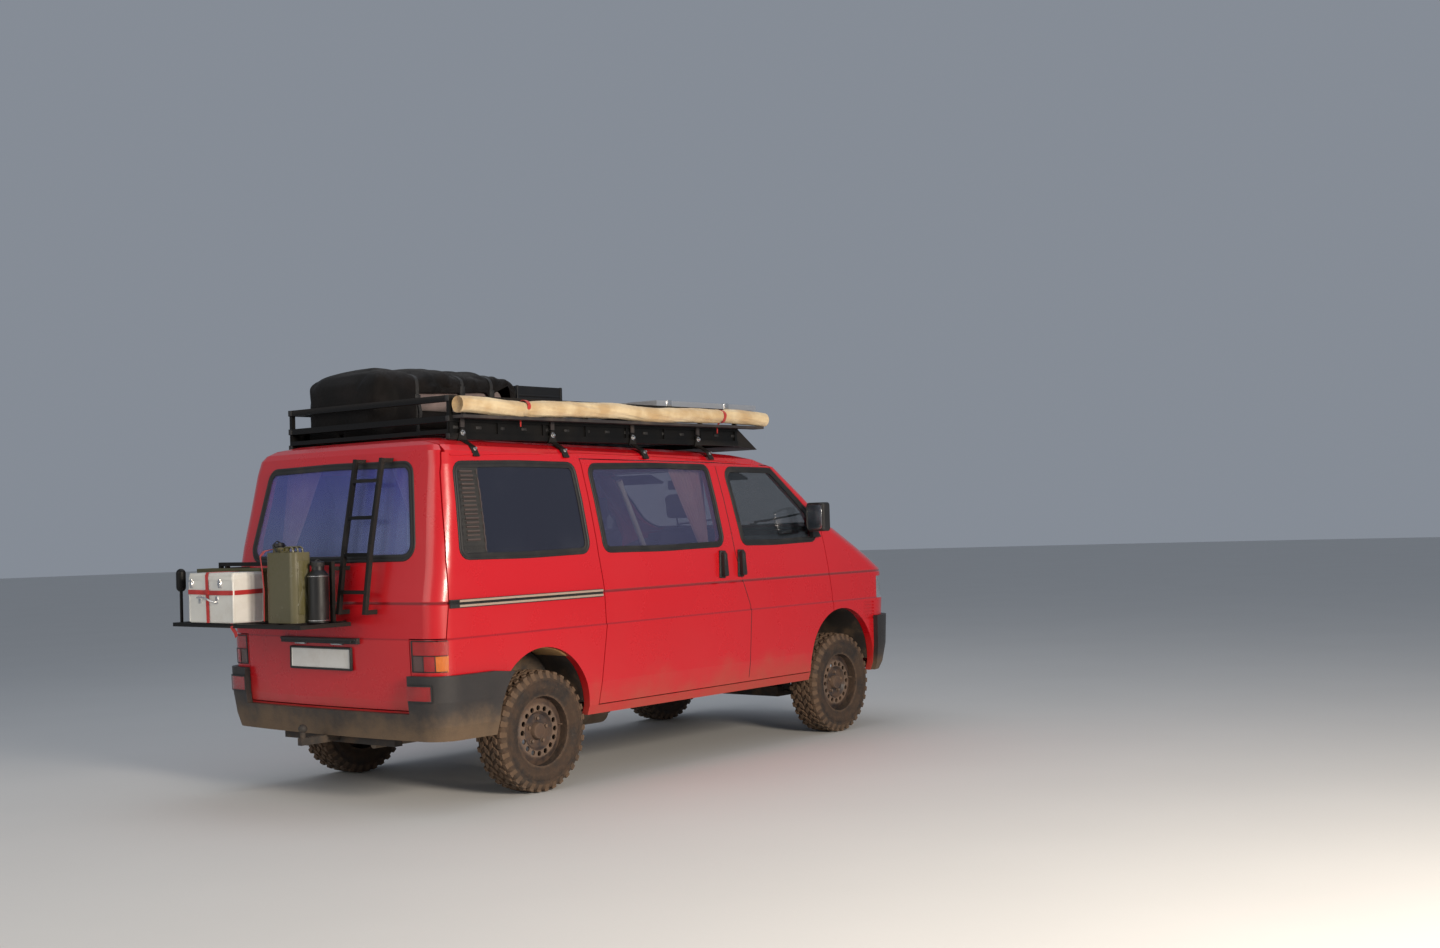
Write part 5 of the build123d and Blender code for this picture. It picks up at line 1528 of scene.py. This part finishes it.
def plate_trim():
    """Frame and rim of the blank number plate."""
    low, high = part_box("number_plate")
    face, mid_z = low.x, (low.z + high.z) / 2
    holder = Maker()
    for y, z, half_y, half_z in ((0, high.z + 0.002, 0.266, 0.006), (0, low.z - 0.002, 0.266, 0.006),
                                 (0.262, mid_z, 0.006, 0.062), (-0.262, mid_z, 0.006, 0.062)):
        holder.block((face - 0.004, y - half_y, z - half_z), (face + 0.012, y + half_y, z + half_z), 0.003)
    holder.done("plate_frame", "tailgate", "black_plastic", "plate_metal")
    rim = Maker()
    rim_x, rim_y = face - 0.0004, 0.25
    rim_low, rim_high = low.z + 0.008, high.z - 0.008
    for z in (rim_low, rim_high):
        rim.tube([(rim_x, y, z) for y in steps(-rim_y, rim_y, 6)], 0.0016, 6)
    for y in (-rim_y, rim_y):
        rim.tube([(rim_x, y, z) for z in steps(rim_low, rim_high, 4)], 0.0016, 6)
    rim.done("plate_rim", "tailgate", "plate", "plate_metal")


def garnish_trim():
    """Two lamps over the plate, and the tailgate's grip with its lock."""
    garnish = skin_of("plate_garnish")
    lamps = Maker()
    for y in (-0.16, 0.16):
        x = cast_end(y, 0.886, -1, 0, garnish)[0].x
        lamps.block((x + 0.002, y - 0.045, 0.8745), (x + 0.024, y + 0.045, 0.8835), 0.003)
    lamps.done("plate_lamps", "tailgate", "lamp_clear", "headlamp")
    grip = Maker()
    spots = [cast_end(y, 0.906, -1, 0.001, garnish) for y in steps(-0.325, 0.325, 40)]
    strip(grip, spots, [(-0.007, -0.001), (-0.006, 0.006), (0.004, 0.009), (0.007, -0.001)])
    lock = cast_end(-0.285, 0.898, -1, 0, garnish)[0]
    grip.lathe([(0, 0.013), (0.005, 0.013), (0.008, 0.010)], lock, (-1, 0, 0), 20)
    grip.done("tailgate_grip", "tailgate", "black_plastic", "door_fittings")


def headlamp_trim(side_name, side):
    """Rubber frame of one headlamp and the amber signal at its outer end."""
    low_z, high_z = 0.912, 1.058
    rim = Maker()
    for z in (low_z, high_z):
        strip(rim, level_row(side, z, (0.440, 0.80), 24, 1, HEADLAMP_SKIN), lip(0.003, 0.002, 0.003))
    for y in (0.436, 0.700):
        strip(rim, upright_row(side, y, (low_z, high_z), 6, 1, HEADLAMP_SKIN), lip(0.003, 0.002, 0.003))
    rim.done(f"headlamp_frame_{side_name}", "body", "rubber", "headlamp")
    signal = Maker()
    raised(signal, [level_row(side, z, (0.706, 0.80), 8, 1, HEADLAMP_SKIN) for z in steps(0.918, 1.052, 5)],
           0.002)
    signal.done(f"front_signal_{side_name}", "body", "lamp_amber", "headlamp")


def front_plate():
    """Blank plate on the front bumper."""
    x = cast_end(0, 0.66, 1)[0].x
    plate = Maker()
    plate.block((x - 0.004, -0.26, 0.604), (x + 0.006, 0.26, 0.716), 0.003)
    plate.done("front_plate", "body", "plate", "plate_metal")


def wipers():
    """Two wiper arms with their pivots, and blades that lie on the windscreen."""
    pivot_z, blade_z, tip_z = 1.440, 1.468, 1.545
    maker = Maker()
    for pivot_y, tip_y in ((0.62, -0.02), (-0.05, -0.66)):
        reach = tip_y - pivot_y
        pivot = cast_end(pivot_y, pivot_z, 1, 0.012)[0]
        arm = [pivot]
        for share in (0.25, 0.5, 0.75, 1.0):
            y = pivot_y + reach * share * 0.55
            z = pivot_z + (tip_z - pivot_z) * share * 0.45
            arm.append(cast_end(y, max(z, 1.462), 1, 0.020, SCREEN_SKIN)[0])
        maker.tube(arm, [0.008, 0.006, 0.005, 0.004, 0.004], 8)
        maker.lathe([(0, 0.014), (0.010, 0.014), (0.014, 0.010)], pivot - Vector((0.008, 0, 0)),
                    (0.6, 0, 0.8), 16)
        blade = []
        for share in steps(0.10, 1.0, 14):
            z = blade_z + (tip_z - blade_z) * (share ** 1.3) * 0.7
            blade.append(cast_end(pivot_y + reach * share, z, 1, 0.009, SCREEN_SKIN))
        strip(maker, blade, lip(0.004, 0.005, 0.003, 0.007))
    maker.done("windscreen_wipers", "body", "black_plastic", "door_fittings")


roof_trim()
slide_rail_trim()
handle("door_left", "door_left", 1.790, 1)
handle("door_right", "door_right", 1.790, -1)
handle("sliding", "body", 1.600, -1)
for side_name, side in SIDES.items():
    mirror(side_name, side)
for side_name, side in SIDES.items():
    tail_lamp_frame(side_name, side)
    bumper_lamp(side_name, side)
plate_trim()
garnish_trim()
for side_name, side in SIDES.items():
    headlamp_trim(side_name, side)
front_plate()
wipers()


# Rack, panel and case

def rack_fittings():
    """Clamp bolts on the rack's feet, clips along its rails, caps on its tube ends, and the deck's slats."""
    feet = (-0.414, 0.293, 0.996, 1.629)
    rear, front = -0.500, 2.060
    bolts, caps = Maker(), Maker()
    for side in (-1, 1):
        clip_y, tube_y = side * 0.698, side * 0.695
        for x in feet:
            bolts.lathe([(0, 0.017), (0.003, 0.017), (0.0032, 0.011), (0.013, 0.0105), (0.015, 0.008)],
                        (AXLE + x, side * 0.720, 2.022), (0, side, 0), 6)
            bolts.lathe([(0, 0.010), (0.004, 0.010), (0.0042, 0.006), (0.018, 0.006)],
                        (AXLE + x, side * 0.812, 1.926), (0, side * 0.9, 0.42), 10)
        for x in steps(-0.45, 2.02, 15):
            caps.block((AXLE + x - 0.022, clip_y - 0.0045, 2.044), (AXLE + x + 0.022, clip_y + 0.0045, 2.062),
                       0.003)
        for x in (rear, front):
            for z in (2.003, 2.100, 2.212):
                caps.block((AXLE + x - 0.003, tube_y - 0.0155, z - 0.0155),
                           (AXLE + x + 0.003, tube_y + 0.0155, z + 0.0155), 0.003)
    bolts.done("rack_bolts", "body", "wire", "rack_steel")
    caps.done("rack_caps", "body", "black_plastic", "rack_steel")
    slats = Maker()
    for y in (-0.56, -0.42, -0.28, -0.14, 0.0, 0.14, 0.28, 0.42, 0.56):
        slats.block((AXLE + rear + 0.018, y - 0.035, 2.0185),
                    (AXLE + front - 0.018, y + 0.035, 2.0215), 0.001)
    slats.done("rack_deck_slats", "body", "steel", "rack_steel")


def panel_fittings():
    """Dark cells inside the panel's frame, and four hold-down clamps."""
    low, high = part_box("roof_panel")
    edge, gap = 0.022, 0.003
    inner_x, inner_y = high.x - low.x - 2 * edge, high.y - low.y - 2 * edge
    along, across = 6, 9
    cells = Maker()
    for i in range(along):
        for j in range(across):
            x = low.x + edge + i * inner_x / along
            y = low.y + edge + j * inner_y / across
            cells.block((x + gap, y + gap, high.z - 0.0012),
                        (x + inner_x / along - gap, y + inner_y / across - gap, high.z + 0.0006), 0.0004, 1)
    cells.done("panel_cells", "body", "cell", "panel_frame")
    clamps = Maker()
    for x in (low.x + 0.12, high.x - 0.32):
        for y, inner in ((low.y, low.y + 0.03), (high.y, high.y - 0.03)):
            clamps.block((x - 0.02, y - 0.006, high.z - 0.036), (x + 0.02, y + 0.006, high.z + 0.005), 0.002)
            clamps.block((x - 0.02, min(y, inner), high.z), (x + 0.02, max(y, inner), high.z + 0.005), 0.002)
    clamps.done("panel_clamps", "body", "wire", "panel_frame")


def case_fittings():
    """Two ribs round the small case on the rack, and a post up each corner."""
    low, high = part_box("roof_case")
    trim = Maker()
    for z in (low.z + 0.055, high.z - 0.060):
        trim.block((low.x - 0.004, low.y - 0.004, z - 0.008), (high.x + 0.004, high.y + 0.004, z + 0.008),
                   0.004)
    for x in (low.x + 0.004, high.x - 0.004):
        for y in (low.y + 0.004, high.y - 0.004):
            trim.block((x - 0.010, y - 0.010, low.z + 0.002), (x + 0.010, y + 0.010, high.z + 0.003), 0.006)
    trim.done("case_ribs", "body", "case", "case_plastic")


rack_fittings()
panel_fittings()
case_fittings()


# Door seal with painted shade, vent slats and dried mud

def seam_seal_and_shade():
    """Dark strip laid over the seam between the sliding door and the right front door: partly the rubber seal
    that shows there, partly painted shade of the gap.
    """
    seam = [(0.47, 1.851), (0.935, 1.886), (1.125, 1.798), (1.290, 1.742), (1.866, 1.653)]
    maker = Maker()
    # Painted shade: the dark strip over the seam stands partly for shadow in the gap, partly for its rubber.
    strip(maker, [cast_side(between(seam, z), z, -1) for z in steps(0.475, 1.845, 90)],
          lip(0.0028, 0.0022, 0.0008))
    maker.done("sliding_door_front_seal_and_shade", "body", "rubber", "dark_plastic")


def vent_slats():
    """Slatted air outlets at the rear edge of the rear side windows, and the post in front of them."""
    skin = skin_of("body_glass", "grilles", "sides")
    first_z, pitch = 1.432, 0.0232
    for side_name, side in SIDES.items():
        maker = Maker()
        for k in range(17):
            spots = [cast_side(x, first_z + pitch * k, side, 0.001, skin) for x in steps(-0.560, -0.468, 6)]
            strip(maker, spots, [(-0.0065, -0.001), (-0.005, 0.0050), (0.002, 0.0060), (0.0065, -0.001)])
        spots = [cast_side(-0.432, z, side, 0.0, skin) for z in steps(1.37, 1.815, 20)]
        strip(maker, spots, lip(0.004, 0.003, 0.0035))
        maker.done(f"window_vent_slats_{side_name}", "body", "vent", "dark_plastic")


def arch_mud(side_name, side):
    """Dried mud thrown up inside one rear wheel housing."""
    arch_x, arch_z, arch_radius = AXLE - 0.022, 0.444, 0.3700
    around, across = 32, 12
    rows = []
    for i in range(around + 1):
        a = math.radians(12 + 112 * i / around)
        row = []
        for j in range(across + 1):
            y = 0.640 + 0.255 * j / across
            lump = noise.noise(Vector((5 * math.cos(a), y * 14, 5 * math.sin(a))))
            edge = min(i, around - i, j, across - j) / 3
            r = arch_radius - 0.010 * min(1.0, edge) * (0.6 + lump)
            row.append((arch_x - r * math.cos(a), side * y, arch_z + r * math.sin(a)))
        rows.append(row)
    piece = Maker().sheet(rows).done(f"arch_mud_{side_name}", "body", "arch_mud", "underbody", sharp=180)
    piece.modifiers.new("thickness", "SOLIDIFY").thickness = 0.002


# Below the floor

def springs_and_dampers():
    """Coil spring in its two cups and leaning damper at each end of the rear axle."""
    coils, points = 4, 120
    springs, dampers = Maker(), Maker()
    for side in (-1, 1):
        x, y = AXLE + 0.20, side * 0.500
        coil = []
        for k in range(points + 1):
            a = 2 * math.pi * coils * k / points
            radius = 0.046 - 0.008 * abs(k / (points / 2) - 1)
            coil.append((x + radius * math.cos(a), y + radius * math.sin(a), 0.388 + 0.080 * k / points))
        springs.tube(coil, 0.0060, 8)
        springs.lathe([(0, 0.052), (0.006, 0.052), (0.008, 0.030), (0.016, 0.028)], (x, y, 0.374),
                      (0, 0, 1), 24)
        springs.lathe([(0, 0.030), (0.008, 0.052), (0.010, 0.052)], (x, y, 0.469), (0, 0, 1), 24)
        foot, head = Vector((AXLE + 0.075, side * 0.545, 0.352)), Vector((AXLE + 0.285, side * 0.455, 0.470))
        dampers.tube([foot, foot.lerp(head, 0.60)], 0.021, 18)
        dampers.tube([foot.lerp(head, 0.58), head], 0.010, 14)
        dampers.tube([foot.lerp(head, 0.94), head], 0.020, 18)
        dampers.lathe([(-0.020, 0.016), (0.020, 0.016)], foot, (0, 1, 0), 18)
    springs.done("rear_springs", "body", "underbody", "underbody")
    dampers.done("rear_dampers", "body", "cast", "underbody")


def tank_straps():
    """Two steel straps with nuts, under the fuel tank and up its sides."""
    low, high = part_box("fuel_tank")
    off = 0.002
    straps = Maker()
    for x in (low.x + 0.14, high.x - 0.14):
        path = [(x, low.y - off, high.z - 0.01), (x, low.y - off, low.z + 0.02),
                (x, low.y + 0.02, low.z - off), (x, high.y - 0.02, low.z - off),
                (x, high.y + off, low.z + 0.02), (x, high.y + off, high.z - 0.01)]
        normals = [(0, -1, 0), (0, -1, -0.3), (0, -0.3, -1), (0, 0.3, -1), (0, 1, -0.3), (0, 1, 0)]
        straps.sweep(path, band(0.032, 0, 0.003), normals)
        straps.lathe([(0, 0.009), (0.010, 0.009), (0.012, 0.006)], (x, high.y - 0.04, low.z - 0.005),
                     (0, 0, -1), 6)
    straps.done("tank_straps", "body", "rust", "underbody")


def exhaust_clamps():
    """Rings round the exhaust pipe, each with its hanger."""
    pipe_y, pipe_z = -0.200, 0.308
    clamps = Maker()
    for x in (-0.50, 0.62, 1.26, 2.10):
        clamps.tube(circle((AXLE + x, pipe_y, pipe_z), 0.031, 24, "yz"), 0.004, 8, True)
        clamps.block((AXLE + x - 0.006, pipe_y - 0.006, pipe_z + 0.028),
                     (AXLE + x + 0.006, pipe_y + 0.006, pipe_z + 0.064), 0.002)
    clamps.done("exhaust_clamps", "body", "rust", "underbody")


# In the cab and under the bonnet

def dash_fittings():
    """Binnacle, four air vents, radio, three knobs and the glove box's lid."""
    face = AXLE + 2.546
    dash = Maker()
    dash.block((AXLE + 2.545, 0.245, 1.352), (AXLE + 2.680, 0.545, 1.418), 0.018, 4)
    for y in (-0.70, -0.16, 0.16, 0.70):
        for k in range(4):
            dash.block((AXLE + 2.536, y - 0.052, 1.262 + 0.014 * k), (face, y + 0.052, 1.269 + 0.014 * k),
                       0.002)
    dash.block((AXLE + 2.534, -0.090, 1.060), (face, 0.090, 1.110), 0.003)
    for y in (-0.060, 0.0, 0.060):
        dash.lathe([(0, 0.019), (0.014, 0.017), (0.016, 0.012)], (AXLE + 2.542, y, 1.165), (-1, 0, 0), 20)
    dash.block((AXLE + 2.533, -0.640, 1.060), (face, -0.260, 1.200), 0.008, 3)
    dash.done("dash_fittings", "body", "black_plastic", "dark_plastic")


def levers_and_pedals():
    """Gear lever with its boot and knob, and three pedals on their arms."""
    lever_y = 0.02
    maker = Maker()
    boot = ((0.060, 0.541, 0), (0.050, 0.560, 0), (0.042, 0.575, 0.002), (0.034, 0.592, 0.004),
            (0.028, 0.606, 0.006), (0.012, 0.640, 0.010))
    maker.rings([[(AXLE + 2.36 + radius * math.cos(a) - shift, lever_y + radius * math.sin(a), z)
                  for a in turns(20)] for radius, z, shift in boot])
    maker.tube([(AXLE + 2.352, lever_y, 0.62), (AXLE + 2.330, lever_y, 0.76), (AXLE + 2.318, lever_y, 0.86)],
               0.007, 12)
    maker.lathe([(-0.030, 0.012), (-0.018, 0.021), (0.0, 0.026), (0.016, 0.022), (0.024, 0.010)],
                (AXLE + 2.314, lever_y, 0.885), (-0.1, 0, 1), 22)
    tread_lean = Matrix.Rotation(math.radians(-28), 4, "Y")
    for y in (0.30, 0.40, 0.50):
        maker.block((AXLE + 2.640, y - 0.032, 0.640), (AXLE + 2.656, y + 0.032, 0.700), 0.006, 3, tread_lean)
        maker.tube([(AXLE + 2.650, y, 0.690), (AXLE + 2.690, y, 0.800), (AXLE + 2.720, y, 0.980)], 0.006, 10)
    maker.done("levers_and_pedals", "body", "black_plastic", "dark_plastic")


def visors_and_mirror():
    """Two sun visors and the inner mirror on its arm."""
    lean = Matrix.Rotation(math.radians(20), 4, "Y")
    shade = Maker()
    for y in (-0.38, 0.38):
        shade.block((AXLE + 2.190, y - 0.19, 1.792), (AXLE + 2.345, y + 0.19, 1.808), 0.007, 3, lean)
    shade.block((AXLE + 2.270, -0.100, 1.720), (AXLE + 2.292, 0.100, 1.785), 0.010, 3)
    shade.tube([(AXLE + 2.285, 0, 1.770), (AXLE + 2.330, 0, 1.825)], 0.007, 10)
    shade.done("visors_and_inner_mirror", "body", "cab", "dark_plastic")


def door_pulls(side_name, side):
    """Arm rest, pull and window crank on the inside of one front door."""
    y = side * 0.868
    rest_low, rest_high = sorted((y, y - side * 0.040))
    crank_x = AXLE + 2.48
    card = Maker()
    card.block((AXLE + 1.93, rest_low, 1.060), (AXLE + 2.34, rest_high, 1.100), 0.012, 3)
    card.tube([(AXLE + 2.02, y - side * 0.020, 1.09), (AXLE + 2.05, y - side * 0.050, 1.170),
               (AXLE + 2.20, y - side * 0.050, 1.190), (AXLE + 2.25, y - side * 0.012, 1.125)], 0.011, 12)
    card.lathe([(0, 0.022), (0.012, 0.020), (0.016, 0.012)], (crank_x, y + side * 0.004, 1.00),
               (0, -side, 0), 20)
    card.tube([(crank_x, y - side * 0.014, 1.00), (AXLE + 2.43, y - side * 0.020, 1.06)], 0.007, 10)
    card.lathe([(0, 0.012), (0.022, 0.013), (0.026, 0.008)], (AXLE + 2.43, y - side * 0.016, 1.06),
               (0, -side, 0), 16)
    card.done(f"door_pulls_{side_name}", f"door_{side_name}", "cab", "dark_plastic")


def rocker_cover(rear, top):
    """Ribbed cover on top of the engine block, with its oil cap."""
    cover = Maker()
    cover.block((rear + 0.10, -0.20, top - 0.004), (rear + 0.30, 0.24, top + 0.032), 0.014, 3)
    for k in range(7):
        y = -0.17 + 0.062 * k
        cover.block((rear + 0.12, y - 0.004, top + 0.028), (rear + 0.28, y + 0.004, top + 0.038), 0.003)
    cover.lathe([(0, 0.028), (0.016, 0.030), (0.024, 0.026), (0.026, 0.012)],
                (rear + 0.20, 0.205, top + 0.030), (0, 0, 1), 24)
    cover.done("rocker_cover", "body", "cast", "cast_metal")


def inlet_pipes(rear, top):
    """Four pipes from the block to a cross tube."""
    branch = ((0.29, -0.01), (0.34, 0.028), (0.40, 0.030), (0.44, -0.004))
    pipes = Maker()
    for k in range(4):
        pipes.tube([(rear + dx, -0.15 + 0.10 * k, top + dz) for dx, dz in branch], 0.020, 14)
    pipes.tube([(rear + 0.42, -0.21, top + 0.010), (rear + 0.42, 0.21, top + 0.010)], 0.026, 16)
    pipes.done("inlet_pipes", "body", "cast", "cast_metal")


def hoses_and_pulleys(rear, front, top):
    """Air hose, water hose, three belt pulleys and the dipstick with its ring."""
    air = ((0.42, 0.20, 0.008), (0.42, 0.27, 0.014), (0.36, 0.33, 0.012), (0.24, 0.345, -0.002))
    water = ((-0.06, -0.26, -0.01), (-0.04, -0.28, 0.024), (-0.02, -0.22, 0.020), (-0.02, -0.14, -0.006))
    maker = Maker()
    maker.tube([(rear + dx, y, top + dz) for dx, y, dz in air], 0.024, 16)
    maker.tube([(front + dx, y, top + dz) for dx, y, dz in water], 0.018, 14)
    for y, radius in ((-0.18, 0.062), (0.02, 0.074), (0.20, 0.050)):
        maker.lathe([(0.0, radius), (0.004, radius + 0.004), (0.010, radius - 0.006), (0.016, radius - 0.006),
                     (0.022, radius + 0.004), (0.026, radius)], (front - 0.002, y, top - 0.26), (1, 0, 0), 32)
    maker.tube([(rear + 0.33, -0.25, top - 0.01), (rear + 0.335, -0.25, top + 0.030)], 0.0035, 8)
    maker.tube(circle((rear + 0.335, -0.25, top + 0.034), 0.010, 16, "xz"), 0.0025, 8, True)
    maker.done("engine_hoses_and_pulleys", "body", "rubber", "dark_plastic")


def leaning_pole():
    """A white pole with three sleeves, which leans behind the sliding window."""
    foot, head = Vector((AXLE + 1.56, -0.66, 0.56)), Vector((AXLE + 0.885, -0.70, 1.745))
    pole = Maker()
    pole.tube([foot, foot.lerp(head, 0.5), head], 0.017, 16)
    for share in (0.0, 0.60, 1.0):
        pole.lathe([(-0.020, 0.019), (-0.018, 0.021), (0.010, 0.021), (0.012, 0.019)], foot.lerp(head, share),
                   head - foot, 18)
    pole.done("leaning_pole", "body", "white_box", "box_plastic")


seam_seal_and_shade()
vent_slats()
for side_name, side in SIDES.items():
    arch_mud(side_name, side)
springs_and_dampers()
tank_straps()
exhaust_clamps()
dash_fittings()
levers_and_pedals()
visors_and_mirror()
for side_name, side in SIDES.items():
    door_pulls(side_name, side)
engine_low, engine_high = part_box("engine")
rocker_cover(engine_low.x, engine_high.z)
inlet_pipes(engine_low.x, engine_high.z)
hoses_and_pulleys(engine_low.x, engine_high.x, engine_high.z)
leaning_pole()
